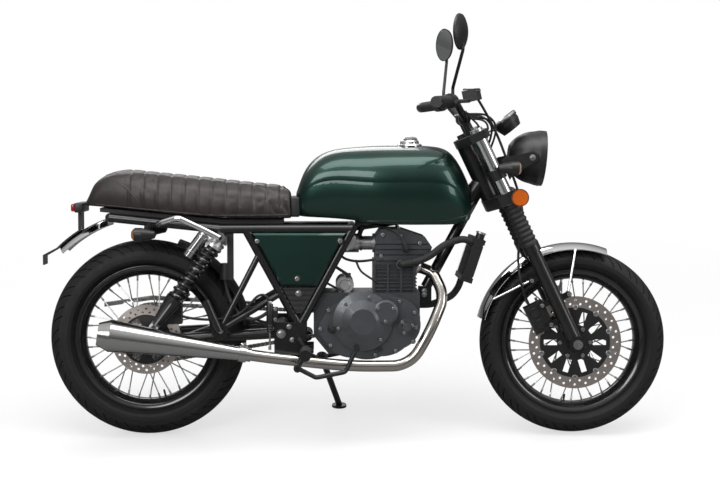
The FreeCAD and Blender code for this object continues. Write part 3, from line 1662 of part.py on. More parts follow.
TANK_STATION_SHARES = [
    # along, floor, top, half width, shoulder drop, floor half width
    (0.000, 0.105, 0.400, 0.44, 0.22, 0.40),
    (0.045, 0.100, 0.660, 0.60, 0.26, 0.50),
    (0.130, 0.090, 0.870, 0.72, 0.34, 0.58),
    (0.310, 0.060, 0.975, 0.84, 0.42, 0.66),
    (0.450, 0.020, 0.996, 0.96, 0.46, 0.74),
    (0.620, 0.000, 1.000, 1.00, 0.46, 0.76),
    (0.780, 0.000, 0.990, 0.97, 0.46, 0.74),
    (0.870, 0.000, 0.930, 0.86, 0.44, 0.66),
    (0.935, 0.010, 0.760, 0.70, 0.40, 0.56),
    (0.980, 0.040, 0.560, 0.54, 0.32, 0.44),
    (1.000, 0.120, 0.420, 0.42, 0.18, 0.36),
]


def rounded_section(x, floor, top, half_width, shoulder, floor_half):
    """A closed cross section: flat floor, flared sides, round shoulders and a crowned top."""
    waist = top - shoulder
    low_left, low_right = Vector(x, floor_half, floor), Vector(x, -floor_half, floor)
    left, right = Vector(x, half_width, waist), Vector(x, -half_width, waist)
    crown_left = Vector(x, half_width * 0.56, top - shoulder * 0.12)
    crown_right = Vector(x, -half_width * 0.56, top - shoulder * 0.12)
    round_left = Vector(x, half_width * 0.88, top - shoulder * 0.42)
    round_right = Vector(x, -half_width * 0.88, top - shoulder * 0.42)
    side_left = Vector(x, (half_width * 3 + floor_half) / 4 + shoulder * 0.03, (floor + waist) / 2)
    side_right = Vector(x, -side_left.y, side_left.z)
    return Part.Wire([
        Part.LineSegment(low_right, low_left).toShape(),
        Part.Arc(low_left, side_left, left).toShape(),
        Part.Arc(left, round_left, crown_left).toShape(),
        Part.Arc(crown_left, Vector(x, 0, top), crown_right).toShape(),
        Part.Arc(crown_right, round_right, right).toShape(),
        Part.Arc(right, side_right, low_right).toShape(),
    ])


def lofted(name, sections):
    shape = doc.addObject("Part::Feature", name)
    shape.Shape = Part.makeLoft(sections, True, False)
    return shape


def tank():
    length = s.tank_front_x - s.tank_rear_x
    height = s.tank_top - s.tank_base
    sections = []
    for along_share, floor, top, half, shoulder, floor_half in TANK_STATION_SHARES:
        sections.append(rounded_section(
            s.tank_rear_x + length * along_share,
            s.tank_base + height * floor,
            s.tank_base + height * top,
            s.tank_half_width * half,
            height * shoulder,
            s.tank_half_width * floor_half,
        ))
    shell = lofted("TankShell", sections)
    tunnel = block(
        Vector((s.tank_rear_x + s.tank_front_x) / 2, 0, s.tank_base + s.tunnel_height / 2),
        length + s.tunnel_half_width * 4, s.tunnel_half_width * 2, s.tunnel_height + s.overrun * 2,
    )
    spine_room = tube(spine_points(), s.backbone_radius + s.fit_gap, s.rail_bend_radius)
    keep(cut(shell, tunnel, spine_room), "tank")
    cap = turned_part("filler_cap", along(Vector(0, 0, 1), Vector(s.cap_x, 0, s.tank_top)), [
        (s.fit_gap, 0),
        (s.fit_gap, s.cap_radius),
        (s.cap_height * 0.3, s.cap_radius),
        (s.cap_height * 0.5, s.cap_radius * 0.7),
        (s.cap_height, s.cap_radius * 0.62),
        (s.cap_height, 0),
    ])
    keep(cap, "filler_cap")


SEAT_STATION_SHARES = [
    # along from the rear, floor by the rails' rise, top by the seat's height,
    # half width, shoulder drop, floor half width
    (0.000, 1.207, 0.330, 0.50, 0.05, 0.48),
    (0.030, 1.171, 0.580, 0.62, 0.20, 0.58),
    (0.060, 1.140, 0.800, 0.70, 0.26, 0.64),
    (0.100, 1.095, 0.950, 0.76, 0.32, 0.70),
    (0.160, 1.028, 1.000, 0.84, 0.34, 0.78),
    (0.280, 0.805, 0.960, 0.92, 0.34, 0.88),
    (0.450, 0.447, 0.885, 0.98, 0.32, 0.94),
    (0.650, 0.179, 0.790, 1.00, 0.30, 0.96),
    (0.840, 0.045, 0.700, 0.94, 0.30, 0.90),
    (0.960, 0.000, 0.640, 0.80, 0.30, 0.76),
    (1.000, 0.000, 0.615, 0.70, 0.28, 0.66),
]


def seat():
    length = s.seat_front_x - s.seat_rear_x
    height = s.seat_height
    base = s.rail_height + s.seat_lift
    tail_rise = s.rail_tail_height - s.rail_height
    sections = []
    for along_share, floor, top, half, shoulder, floor_half in SEAT_STATION_SHARES:
        sections.append(rounded_section(
            s.seat_rear_x + length * along_share,
            base + tail_rise * floor,
            base + height * top,
            s.seat_half_width * half,
            height * shoulder,
            s.seat_half_width * floor_half,
        ))
    keep(lofted("seat", sections), "seat")

    half = s.seat_half_width * 0.6
    top = base - s.fit_gap
    rise = tail_rise + s.overrun
    lift = s.frame_tube_radius + s.fit_gap * 2
    back_x = s.rail_tail_x - s.seat_pan_overhang
    slope = tail_rise / (s.rail_kick_x - s.rail_tail_x)
    pan = side_plate("seat_pan", 0, [
        (s.seat_front_x - s.seat_pan_overhang, top),
        (s.seat_front_x - s.seat_pan_overhang, s.rail_height + lift),
        (s.rail_kick_x, s.rail_height + lift),
        (back_x, s.rail_height + lift + (s.rail_kick_x - back_x) * slope),
        (back_x, top + rise),
        (s.rail_kick_x, top),
    ], half * 2)
    keep(pan, "seat_pan")


COVER_HEIGHT_SHARES = (0.04, 0.58)
PANEL_HEIGHT_SHARES = (0.60, 0.86)


def v_corner(rear, share, inset=0):
    """A point down the V's rear or front tube, by a share of its height, inside it by the inset."""
    top_x = s.rail_mid_x if rear else s.rail_front_x
    drop = s.rail_height - s.cradle_height
    run = s.cradle_x - top_x
    slant = math.sqrt(run * run + drop * drop) / drop
    shift = inset * slant * (1 if rear else -1)
    return (top_x + run * share + shift, s.rail_height - drop * share)


def side_covers():
    """Painted covers nested in the frame's V with bevelled edges, and ribbed panels below."""
    nest = math.sqrt((s.frame_tube_radius + s.fit_gap) ** 2 - s.cover_inset ** 2)
    inner = s.rail_side + nest + s.fit_gap
    top, low = COVER_HEIGHT_SHARES
    wide = [(True, top), (False, top), (False, low), (True, low)]
    sections = []
    for depth, inset in ((0, 0), (s.cover_thickness - s.cover_bevel, 0), (s.cover_thickness, 1)):
        corners = []
        for rear, share in wide:
            x, z = v_corner(rear, share, s.cover_inset + s.cover_bevel * inset)
            lift = s.cover_bevel * inset * (-1 if share == top else 1)
            corners.append(Vector(x, inner + depth, z + lift))
        sections.append(Part.makePolygon(corners + corners[:1]))
    cover = doc.addObject("Part::Feature", "Cover")
    cover.Shape = Part.makeLoft(sections, True, True)
    keep(both_sides(cover), "side_covers")
    top, low = PANEL_HEIGHT_SHARES
    panel = side_plate("Panel", inner + s.cover_thickness / 4, [
        v_corner(rear, share, s.cover_inset) for rear, share in (
            (True, top), (False, top), (False, low), (True, low))
    ], s.cover_thickness / 2)
    drop = (s.rail_height - s.cradle_height) * (low - top)
    grooves = []
    for rib in range(int(s.cover_rib_count)):
        height = s.rail_height - (s.rail_height - s.cradle_height) * top - drop * (
            rib + 0.5) / s.cover_rib_count
        grooves.append(block(Vector(s.cradle_x, inner + s.cover_thickness / 2, height),
                             s.rail_front_x - s.rail_mid_x, s.panel_rib_depth * 2,
                             s.panel_rib_height))
    keep(both_sides(cut(panel, group(*grooves))), "side_panels")


CASE_OUTLINE_SHARES = (
    # along the crankcase from its rear, up from its base
    (0.00, 0.30),
    (0.00, 0.78),
    (0.10, 1.00),
    (1.00, 1.00),
    (1.00, 0.42),
    (0.90, 0.16),
    (0.72, 0.00),
    (0.14, 0.00),
)
CLUTCH_OUTLINE_SHARES = (
    # along the clutch cover from its rear, up from its base, bulge of the edge that leads here
    (0.00, 0.40, 0.0),
    (0.05, 0.64, 1.3),
    (0.24, 0.93, 1.3),
    (0.48, 1.00, 1.3),
    (0.80, 0.95, 1.3),
    (0.96, 0.80, 1.2),
    (1.00, 0.60, 1.2),
    (0.98, 0.36, 1.4),
    (0.85, 0.16, 1.4),
    (0.62, 0.02, 1.4),
    (0.36, 0.00, 1.4),
    (0.13, 0.12, 1.3),
)
HEAD_OUTLINE_SHARES = (
    # along the head cover from its rear, up from its base
    (0.00, 0.00),
    (0.00, 0.74),
    (0.10, 1.00),
    (0.46, 1.00),
    (0.88, 0.74),
    (1.00, 0.42),
    (0.94, 0.00),
)


def profile_corners(shares, rear, front, base, top):
    """Corners of an outline in the machine's x and z from shares of its length and height."""
    return [(rear + (front - rear) * row[0], base + (top - base) * row[1]) for row in shares]


def engine():
    """The crankcase with its covers, the cylinder, its head, and the parts bolted to them."""
    case = side_plate("Case", 0, profile_corners(
        CASE_OUTLINE_SHARES, s.engine_rear_x, s.engine_front_x, s.engine_base, s.engine_deck),
                      s.engine_half_width * 2)
    starter = cross_rod(Vector(s.starter_x, 0, s.starter_height), s.starter_half,
                        s.starter_radius)
    notch_length = s.drive_x + s.drive_radius + s.sprocket_room * 2 - s.engine_rear_x
    notch_width = s.engine_half_width - s.chain_side + s.chain_half_width + s.sprocket_room
    notch = block(Vector(s.engine_rear_x + notch_length / 2 - s.overrun,
                         s.engine_half_width - notch_width / 2 + s.overrun,
                         s.drive_height), notch_length + s.overrun, notch_width + s.overrun,
                  (s.drive_radius + s.sprocket_room) * 2 + s.sprocket_room)
    keep(cut(fuse(case, starter), notch), "crankcase")

    right = -s.engine_half_width - s.fit_gap
    plate_depth = s.cover_depth * 0.62
    corners = profile_corners(CLUTCH_OUTLINE_SHARES, s.clutch_cover_rear_x,
                              s.clutch_cover_front_x, s.clutch_cover_base, s.clutch_cover_top)
    rounded = []
    for index, (corner, row) in enumerate(zip(corners, CLUTCH_OUTLINE_SHARES)):
        before = corners[index - 1]
        chord = math.hypot(corner[0] - before[0], corner[1] - before[1])
        rounded.append((*corner, -chord * row[2]) if row[2] else corner)
    cover = side_plate("ClutchCover", right - plate_depth / 2, rounded, plate_depth)
    clutch = turned_part("Clutch", along(Vector(0, -1, 0), Vector(s.clutch_x, right,
                                                                  s.clutch_height)), [
        (0, 0),
        (0, s.clutch_radius),
        (s.cover_depth * 0.8, s.clutch_radius),
        (s.cover_depth, s.clutch_dome_radius),
        (s.cover_depth + s.clutch_dome_depth, s.clutch_dome_radius * 0.6),
        (s.cover_depth + s.clutch_dome_depth, 0),
    ])
    timing = turned_part("Timing", along(Vector(0, -1, 0), Vector(s.timing_x, right,
                                                                  s.timing_height)), [
        (0, 0),
        (0, s.timing_radius),
        (s.cover_depth + s.timing_rise, s.timing_radius),
        (s.cover_depth + s.timing_rise * 1.5, s.timing_radius - s.timing_rise),
        (s.cover_depth + s.timing_rise * 1.5, 0),
    ])
    pump = turned_part("WaterPump", along(Vector(0, -1, 0), Vector(s.pump_x, right,
                                                                   s.pump_height)), [
        (0, 0),
        (0, s.pump_radius),
        (s.cover_depth, s.pump_radius),
        (s.cover_depth, s.pump_radius * 0.6),
        (s.cover_depth + s.pump_rise, s.pump_radius * 0.5),
        (s.cover_depth + s.pump_rise, 0),
    ])
    left = s.engine_half_width + s.fit_gap
    generator = turned_part("Generator", along(Vector(0, 1, 0), Vector(s.generator_x, left,
                                                                       s.generator_height)), [
        (0, 0),
        (0, s.generator_radius),
        (s.cover_depth * 0.7, s.generator_radius),
        (s.cover_depth, s.generator_radius * 0.7),
        (s.cover_depth, 0),
    ])
    sprocket_cover = turned_part("SprocketCover", along(Vector(0, 1, 0), Vector(
        s.sprocket_cover_x, left, s.drive_height)), [
            (0, 0),
            (0, s.sprocket_cover_radius),
            (s.cover_depth * 0.5, s.sprocket_cover_radius),
            (s.cover_depth * 0.6, s.sprocket_cover_radius * 0.8),
            (s.cover_depth * 0.6, 0),
        ])
    keep(group(fuse(cover, clutch, timing, pump), fuse(generator, sprocket_cover)),
         "engine_covers")

    deck = s.engine_deck + s.fit_gap
    barrel = block(Vector(s.cylinder_x, 0, deck + s.cylinder_height / 2),
                   s.cylinder_half_length * 2, s.cylinder_half_width * 2, s.cylinder_height)
    ribs = []
    spacing = (s.cylinder_half_length * 2 - s.cylinder_rib_width) / (s.cylinder_rib_count - 1)
    for rib in range(int(s.cylinder_rib_count)):
        x = s.cylinder_x - s.cylinder_half_length + s.cylinder_rib_width / 2 + spacing * rib
        ribs.append(block(Vector(x, 0, deck + s.cylinder_height / 2), s.cylinder_rib_width,
                          (s.cylinder_half_width + s.cylinder_rib_depth) * 2,
                          s.cylinder_height))
    collar = block(Vector(s.cylinder_x, 0, deck + s.cylinder_height - s.cylinder_rib_width),
                   s.cylinder_half_length * 2, (s.cylinder_half_width + s.cylinder_rib_depth) * 2,
                   s.cylinder_rib_width * 2)
    keep(fuse(barrel, collar, *ribs), "cylinder")
    head_base = deck + s.cylinder_height + s.fit_gap
    cover_top = head_base + s.head_height + s.head_cover_height
    cover = side_plate("HeadCover", 0, profile_corners(
        HEAD_OUTLINE_SHARES, s.head_x - s.head_half_length, s.head_x + s.head_half_length,
        head_base, cover_top), (s.head_half_width + s.head_fin_depth) * 2)
    crown = side_plate("HeadCrown", 0, profile_corners(
        HEAD_OUTLINE_SHARES, s.head_x - s.head_half_length, s.head_x + s.head_half_length,
        head_base, cover_top), s.head_half_width * 2)
    slots = []
    for fin in range(int(s.head_fin_count)):
        height = head_base + s.head_height * (fin + 1) / (s.head_fin_count + 1)
        slots.append(block(Vector(s.head_x, 0, height), s.head_half_length * 3,
                           (s.head_half_width + s.head_fin_depth) * 3, s.head_fin_gap))
    finned = cut(cover, group(*slots))
    keep(fuse(crown, finned), "cylinder_head")
    head_rear = s.head_x - s.head_half_length - s.fit_gap
    way = Vector(-1, 0, 0)
    reach = head_rear - s.intake_rear_x
    body = turned_part("Throttle", along(way, Vector(head_rear, 0, s.intake_height)), [
        (0, 0),
        (0, s.throttle_radius),
        (s.cylinder_rib_width, s.throttle_radius),
        (s.cylinder_rib_width, s.intake_radius),
        (reach - s.throttle_length, s.intake_radius),
        (reach - s.throttle_length, s.throttle_radius),
        (reach, s.throttle_radius),
        (reach, 0),
    ])
    drum = cross_rod(Vector(s.intake_rear_x + s.throttle_length / 2, 0, s.intake_height),
                     s.throttle_drum_half, s.throttle_drum_radius)
    keep(fuse(body, drum), "intake")


def ahead_of_tube(distance, height):
    """A point in the middle plane, by its distance ahead of the down tube at that height."""
    root = steering_point(s.down_tube_root_up)
    share = (height - s.down_tube_foot_height) / (root.z - s.down_tube_foot_height)
    tube_x = s.down_tube_foot_x + (root.x - s.down_tube_foot_x) * share
    return Vector(tube_x + distance, 0, height)


def radiator_ends():
    """The middles of the radiator's top and foot."""
    return (ahead_of_tube(s.radiator_top_ahead, s.radiator_top_height),
            ahead_of_tube(s.radiator_foot_ahead, s.radiator_foot_height))


def coolant_hoses():
    """The hose from the cylinder to the radiator's top, and the one from its foot to the pump."""
    top, foot = radiator_ends()
    up = (top - foot).normalize()
    ahead = Vector(up.z, 0, -up.x)
    wall = s.cylinder_half_width + s.cylinder_rib_depth + s.fit_gap
    mouth = top - up * s.radiator_tank_height - ahead * (s.radiator_thickness / 2 + s.fit_gap)
    mouth = mouth - Vector(0, s.hose_side, 0)
    upper = hose([
        Vector(s.top_hose_x, -wall, s.top_hose_height),
        Vector(s.top_hose_x, -s.top_hose_side, s.top_hose_height),
        Vector(s.top_hose_knee_x, -s.top_hose_side - s.overrun, s.top_hose_knee_height),
        Vector(s.top_hose_rise_x, -s.top_hose_side, s.top_hose_rise_height),
        mouth - ahead * s.hose_stub,
        mouth,
    ], s.hose_radius)
    drain = foot - up * s.fit_gap + Vector(0, s.foot_hose_side, 0)
    face = Vector(s.engine_front_x + s.fit_gap, s.foot_hose_side, s.foot_hose_height)
    lower = hose([
        face,
        face + Vector(s.hose_stub * 1.5, 0, 0),
        Vector(s.foot_hose_rise_x, s.foot_hose_side + s.overrun, s.foot_hose_rise_height),
        drain - up * s.hose_stub,
        drain,
    ], s.hose_radius)
    keep(group(upper, lower), "coolant_hoses")


def radiator():
    """A finned core between its two side tanks, with the filler neck on top."""
    top, foot = radiator_ends()
    way = top - foot
    turn = Rotation(Vector(0, 0, 1), way)
    unit = Vector(way).normalize()
    middle = (top + foot) * 0.5
    core = block(middle, s.radiator_thickness - s.radiator_core_setback * 2,
                 s.radiator_half_width * 2, way.Length, turn)
    slots = []
    ahead = turn.multVec(Vector(1, 0, 0))
    room = way.Length - s.radiator_tank_height * 2
    for fin in range(int(s.radiator_fin_count)):
        up = room * ((fin + 0.5) / s.radiator_fin_count - 0.5)
        for face in (-1, 1):
            centre = middle + unit * up + ahead * (s.radiator_thickness / 2) * face
            slots.append(block(centre, s.radiator_core_setback * 4, s.radiator_half_width * 1.8,
                               s.radiator_fin_gap, turn))
    tanks = [block(end, s.radiator_thickness, s.radiator_half_width * 2,
                   s.radiator_tank_height, turn)
             for end in (top - unit * s.radiator_tank_height / 2,
                         foot + unit * s.radiator_tank_height / 2)]
    mouth = top - Vector(0, s.radiator_half_width - s.radiator_neck_radius * 2, 0)
    neck = rod(mouth - unit * s.overrun, mouth + unit * s.radiator_neck_height,
               s.radiator_neck_radius)
    keep(fuse(cut(core, group(*slots)), neck, *tanks), "radiator")


PIPE_ROUTE_SHARES = [
    # along the engine from its rear, out to the right of its side, down from the port
    (1.13, 0.56, 0.05),
    (1.23, 1.00, 0.32),
    (1.09, 1.42, 0.72),
    (0.90, 1.48, 1.12),
    (0.36, 1.48, 1.125),
]


def exhaust():
    """The header pipe from the cylinder head under the engine, and the tapered silencer."""
    port = Vector(s.cylinder_x + s.cylinder_half_length + s.fit_gap, -s.exhaust_port_side,
                  s.engine_deck + s.cylinder_height * 0.74)
    length = s.engine_front_x - s.engine_rear_x
    drop = port.z - s.engine_base
    points = [port, port + Vector(s.pipe_radius, 0, 0)]
    for along_share, side_share, down_share in PIPE_ROUTE_SHARES:
        points.append(Vector(s.engine_rear_x + length * along_share,
                             -s.engine_half_width * side_share, port.z - drop * down_share))
    inlet = Vector(s.muffler_front_x, -s.muffler_front_side, s.muffler_front_height)
    outlet = Vector(s.muffler_rear_x, -s.muffler_rear_side, s.muffler_rear_height)
    way = outlet - inlet
    unit = Vector(way).normalize()
    points.append(inlet - unit * s.muffler_front_radius * 3)
    points.append(inlet - unit * s.fit_gap)
    keep(hose(points, s.pipe_radius), "header_pipe")
    size = way.Length
    wall = s.muffler_wall
    silencer = turned_part("silencer", along(way, inlet), [
        (0, 0),
        (0, s.muffler_front_radius),
        (s.muffler_clamp_from, s.muffler_front_radius),
        (s.muffler_clamp_from, s.muffler_clamp_radius),
        (s.muffler_clamp_from + s.muffler_clamp_length, s.muffler_clamp_radius),
        (s.muffler_clamp_from + s.muffler_clamp_length, s.muffler_front_radius),
        (size - s.muffler_cone, s.muffler_radius),
        (size, s.muffler_tip_radius),
        (size, s.muffler_tip_radius - wall),
        (size - s.muffler_cone, s.muffler_tip_radius - wall),
        (size - s.muffler_cone, 0),
    ])
    keep(silencer, "silencer")


def foot_pegs():
    """Rider pegs on their hangers, which also carry the foot levers, and folded rear pegs."""
    inner = Vector(s.peg_x, s.peg_inner_side, s.peg_height)
    outer = Vector(s.peg_x, s.peg_outer_side, s.peg_height)
    root = Vector(s.cradle_x, s.arm_side + s.arm_radius + s.running_gap
                  + s.pivot_plate_thickness + s.fit_gap, s.peg_root_height)
    hinge = Vector(s.pedal_hinge_x, s.peg_inner_side, s.pedal_hinge_height)
    pin_end = hinge + Vector(0, s.pedal_side - s.peg_inner_side + s.pedal_hub_half, 0)
    inset = Vector(0, s.peg_arm_radius + s.running_gap, 0)
    flange = Vector(0, s.mount_plate_thickness, 0)
    hanger = welded(
        rod(inner - inset, outer, s.peg_radius),
        rod(root, root + flange, s.peg_radius),
        rod(root + flange * 0.75, inner, s.peg_arm_radius),
        rod(inner, hinge, s.peg_arm_radius),
        rod(hinge - inset, pin_end, s.pedal_pin_radius),
    )
    passengers = []
    for side in (-1, 1):
        hinge = Vector(s.hanger_x, side * (s.hanger_side + s.hanger_plate_half
                                           + s.rear_peg_radius + s.fit_gap), s.hanger_height)
        tip_turn = math.radians(s.rear_peg_tip_angle)
        tip = hinge + Vector(-math.sin(tip_turn), 0, math.cos(tip_turn)) * s.rear_peg_length
        passengers.append(rod(hinge, tip, s.rear_peg_radius))
    keep(group(both_sides(hanger), *passengers), "foot_pegs")


def foot_levers():
    """The brake pedal on the right and the shift lever on the left."""
    levers = []
    for side in (-1, 1):
        y = side * s.pedal_side
        hinge = Vector(s.pedal_hinge_x, y, s.pedal_hinge_height)
        points = [
            hinge,
            Vector(s.pedal_low_x, y, s.pedal_low_height),
            Vector(s.pedal_front_x - s.peg_radius * 2, y, s.pedal_low_height + s.peg_radius),
            Vector(s.pedal_front_x, y, s.pedal_front_height),
        ]
        arm = tube(points, s.pedal_radius, s.peg_radius)
        toe = cross_rod(Vector(s.pedal_front_x, y, s.pedal_front_height), s.pedal_pad_half,
                        s.pedal_pad_radius)
        hub = cross_rod(hinge, s.pedal_hub_half, s.pedal_pin_radius * 2)
        hole = cross_rod(hinge, s.pedal_hub_half * 2, s.pedal_pin_radius + s.fit_gap)
        levers.append(cut(fuse(arm, toe, hub), hole))
    keep(group(*levers), "foot_levers")


stand_pivot = Vector(s.stand_pivot_x, s.stand_pivot_side, s.stand_pivot_height)


def lean_lift():
    """How far the machine rises as it rolls over the rear tyre's round crown."""
    half, drop = s.rear_shoulder_half, s.rear_shoulder_drop
    crown = (half * half + drop * drop) / (2 * drop)
    return crown * (1 - math.cos(math.radians(s.lean_angle)))


def floor_height(side):
    """Height of the floor below a point, seen in the machine's own upright frame."""
    lean = math.radians(s.lean_angle)
    return side * math.tan(lean) - lean_lift() / math.cos(lean)


def stand_geometry():
    """The foot of the side stand, its direction when folded, and the axis between them."""
    foot = Vector(s.stand_foot_x, s.stand_foot_side, floor_height(s.stand_foot_side))
    down = (foot - stand_pivot).normalize()
    folded = Vector(-1, 0.05, -0.03).normalize()
    axis = down.cross(folded).normalize()
    return foot, down, axis, math.degrees(down.getAngle(folded))


def side_stand():
    foot, down, axis, travel = stand_geometry()
    lift = Vector(0, math.sin(math.radians(s.lean_angle)), math.cos(math.radians(s.lean_angle)))
    floor_up = Vector(0, -lift.y, lift.z)
    hub = rod(stand_pivot - axis * s.stand_boss_half, stand_pivot + axis * s.stand_boss_half,
              s.stand_boss_radius)
    leg = rod(stand_pivot, foot + floor_up * s.stand_shoe_thickness, s.stand_radius)
    shoe = rod(foot, foot + floor_up * s.stand_shoe_thickness, s.stand_shoe_radius)
    hole = rod(stand_pivot - axis * s.stand_boss_half * 2,
               stand_pivot + axis * s.stand_boss_half * 2, s.stand_pin_radius + s.fit_gap)
    keep(cut(fuse(hub, leg, shoe), hole), "side_stand")


def chain():
    """The chain's closed loop: waisted side plates, grooved inside where the teeth run."""
    rear = rear_axle_point
    front = Vector(s.drive_x, 0, s.drive_height)
    big, small = s.sprocket_radius, s.drive_radius
    span = front - rear
    tilt = math.atan2(span.z, span.x)
    wrap = math.acos((big - small) / span.Length)
    run = span.Length * math.sin(wrap)
    rear_arc = big * 2 * (math.pi - wrap)
    front_arc = small * 2 * wrap
    links = int((run * 2 + rear_arc + front_arc) / s.link_pitch / 2) * 2
    stretch = (run * 2 + rear_arc + front_arc) / links

    def loop_point(distance, out):
        if distance < run:
            normal = tilt + wrap
            base = front + ray(normal) * small - ray(normal - math.pi / 2) * distance
            return base + ray(normal) * out
        distance = distance - run
        if distance < rear_arc:
            return rear + ray(tilt + wrap + distance / big) * (big + out)
        distance = distance - rear_arc
        if distance < run:
            normal = tilt - wrap
            base = rear + ray(normal) * big + ray(normal + math.pi / 2) * distance
            return base + ray(normal) * out
        distance = distance - run
        return front + ray(tilt - wrap + distance / small) * (small + out)

    faces = []
    for way in (1, -1):
        corners = []
        for step in range(links * 2):
            out = s.link_waist_half_height if step % 2 else s.chain_half_height
            corners.append(loop_point(stretch * step / 2, out * way))
        faces.append(Part.Face(Part.makePolygon(corners + corners[:1])))
    loop = doc.addObject("Part::Feature", "Loop")
    loop.Shape = faces[0].cut(faces[1]).extrude(Vector(0, s.chain_half_width * 2, 0))
    loop.Placement = Placement(Vector(0, s.chain_side - s.chain_half_width, 0), Rotation())
    groove_half = s.sprocket_thickness / 2 + s.sprocket_gap
    groove = cross_rod(rear + Vector(0, s.chain_side, 0), groove_half,
                       big + s.tooth_rise + s.link_gap)
    keep(cut(loop, groove), "chain")


def ray(angle):
    """The unit vector at an angle up from straight ahead, in the machine's side view."""
    return Vector(math.cos(angle), 0, math.sin(angle))


def guard():
    """A bright guard over the chain's upper run."""
    clear = s.chain_half_height + s.guard_clearance
    rear_z = rear_axle_point.z + s.sprocket_radius + clear
    slope = (s.drive_height + s.drive_radius + clear - rear_z) / s.drive_x
    front_z = rear_z + slope * s.guard_front_x
    drop = s.guard_rear_x * math.tan(math.radians(s.chain_guard_drop_angle))
    keep(side_plate("chain_guard", s.chain_side + s.guard_width / 4, [
        (s.guard_rear_x, rear_z + drop),
        (0, rear_z),
        (s.guard_front_x, front_z),
        (s.guard_front_x, front_z + s.guard_depth / 2),
        (0, rear_z + s.guard_depth),
        (s.guard_rear_x, rear_z + drop + s.guard_depth),
    ], s.guard_width), "chain_guard")


def inner_fender():
    """The mudguard behind the engine, on two stays from the swingarm's pivot tube."""
    inner = s.rear_tyre_radius + s.inner_fender_clearance
    start = s.inner_fender_start_angle
    hugger = arched_fender("Hugger", rear_axle_point, inner, s.inner_fender_half_width,
                           s.fender_crown_drop, s.fender_sheet, start,
                           s.inner_fender_sweep_angle)
    half, drop = s.inner_fender_half_width, s.fender_crown_drop
    crown = (half * half + drop * drop) / (2 * drop)
    side = s.inner_fender_stay_side
    reach = inner - crown + math.sqrt(crown * crown - side * side) + s.fender_sheet / 2
    foot_x, foot_z = round_axle(reach, start + s.running_gap * 2)
    stays = []
    for y in (-side, side):
        foot = Vector(foot_x, y, foot_z)
        pivot = Vector(s.pivot_x, y, s.pivot_height)
        head = pivot + (foot - pivot).normalize() * (s.pivot_radius + s.fit_gap)
        stays.append(rod(foot, head, s.fender_stay_radius))
    keep(fuse(hugger, *stays), "inner_fender")


def round_axle(radius, degrees):
    """A point placed round the rear axle, as seen from the side."""
    way = math.radians(degrees)
    return radius * math.cos(way), rear_axle_point.z + radius * math.sin(way)


def tail_fender():
    """The bright rear mudguard behind the last cross tube, and the plate bracket on it."""
    tube_way = Vector(s.rail_tail_x, 0, s.rail_tail_height - rear_axle_point.z)
    tube_angle = math.degrees(math.atan2(tube_way.z, tube_way.x))
    room = math.degrees(math.asin((s.frame_tube_radius + s.fit_gap) / tube_way.Length))
    start = tube_angle + room
    sheet_part = arched_fender("tail_fender", rear_axle_point, s.tail_fender_radius,
                               s.tail_fender_half_width, s.tail_fender_drop, s.fender_sheet,
                               start, s.tail_fender_end_angle - start)
    keep(sheet_part, "tail_fender")

    under = s.tail_fender_radius + s.fender_sheet + s.fit_gap
    over = under + s.plate_arm_thickness
    wall = s.plate_arm_thickness
    stalk_top = s.tail_lamp_base - s.fit_gap
    stalk_back = s.plate_stalk_x - wall * 2
    front = math.degrees(math.acos(s.plate_stalk_x / under))
    back = math.degrees(math.acos(stalk_back / over))
    end = s.tail_fender_end_angle + s.running_gap
    arm = side_plate("plate_bracket", 0, [
        (s.plate_stalk_x, stalk_top),
        (stalk_back, stalk_top),
        round_axle(over, back),
        (*round_axle(over, end), over),
        (s.plate_tip_x, s.plate_tip_top),
        (s.plate_tip_x, s.plate_tip_base),
        (s.plate_tip_x + wall, s.plate_tip_base),
        (s.plate_tip_x + wall, s.plate_tip_top - wall),
        round_axle(under, end),
        (*round_axle(under, front), -under),
    ], s.plate_arm_width)
    keep(arm, "plate_bracket")


def rail_seat(side, point, radius):
    """Where a piece that points at a seat rail touches it, square to the rail's run."""
    kick, tail = rail_points(side)[1:]
    run = (tail - kick).normalize()
    axis_point = kick + run * (point - kick).dot(run)
    return axis_point + (point - axis_point).normalize() * (radius + s.fit_gap)


def grab_rails():
    """Bright rails from the shock studs round to the seat rails."""
    rails = []
    for side in (-1, 1):
        stud_end = s.rail_side + s.shock_stud_length
        eye_side = stud_end - s.grab_rail_eye_half
        start = Vector(s.shock_top_x, side * (stud_end + s.running_gap), s.shock_top_height)
        knee = Vector(s.shock_top_x - s.grab_rail_rear_x, side * s.grab_rail_side, s.rail_height)
        peak = Vector(s.grab_rail_mid_x, side * s.grab_rail_side, s.grab_rail_mid_height)
        turn = Vector(s.grab_rail_rear_x, side * s.hanger_side, s.rail_height + s.grab_rail_radius * 2)
        seat_point = rail_seat(side, turn, s.frame_tube_radius)
        loop = tube([start, knee, peak, turn, seat_point], s.grab_rail_radius,
                    s.grab_rail_radius * 3)
        eye = cross_rod(Vector(start.x, side * eye_side, start.z), s.grab_rail_eye_half,
                        s.shock_eye_radius)
        hole = cross_rod(Vector(start.x, side * eye_side, start.z),
                         s.grab_rail_eye_half + s.fit_gap, s.mount_stud_radius + s.fit_gap)
        rails.append(cut(fuse(loop, eye), hole))
    keep(group(*rails), "grab_rails")


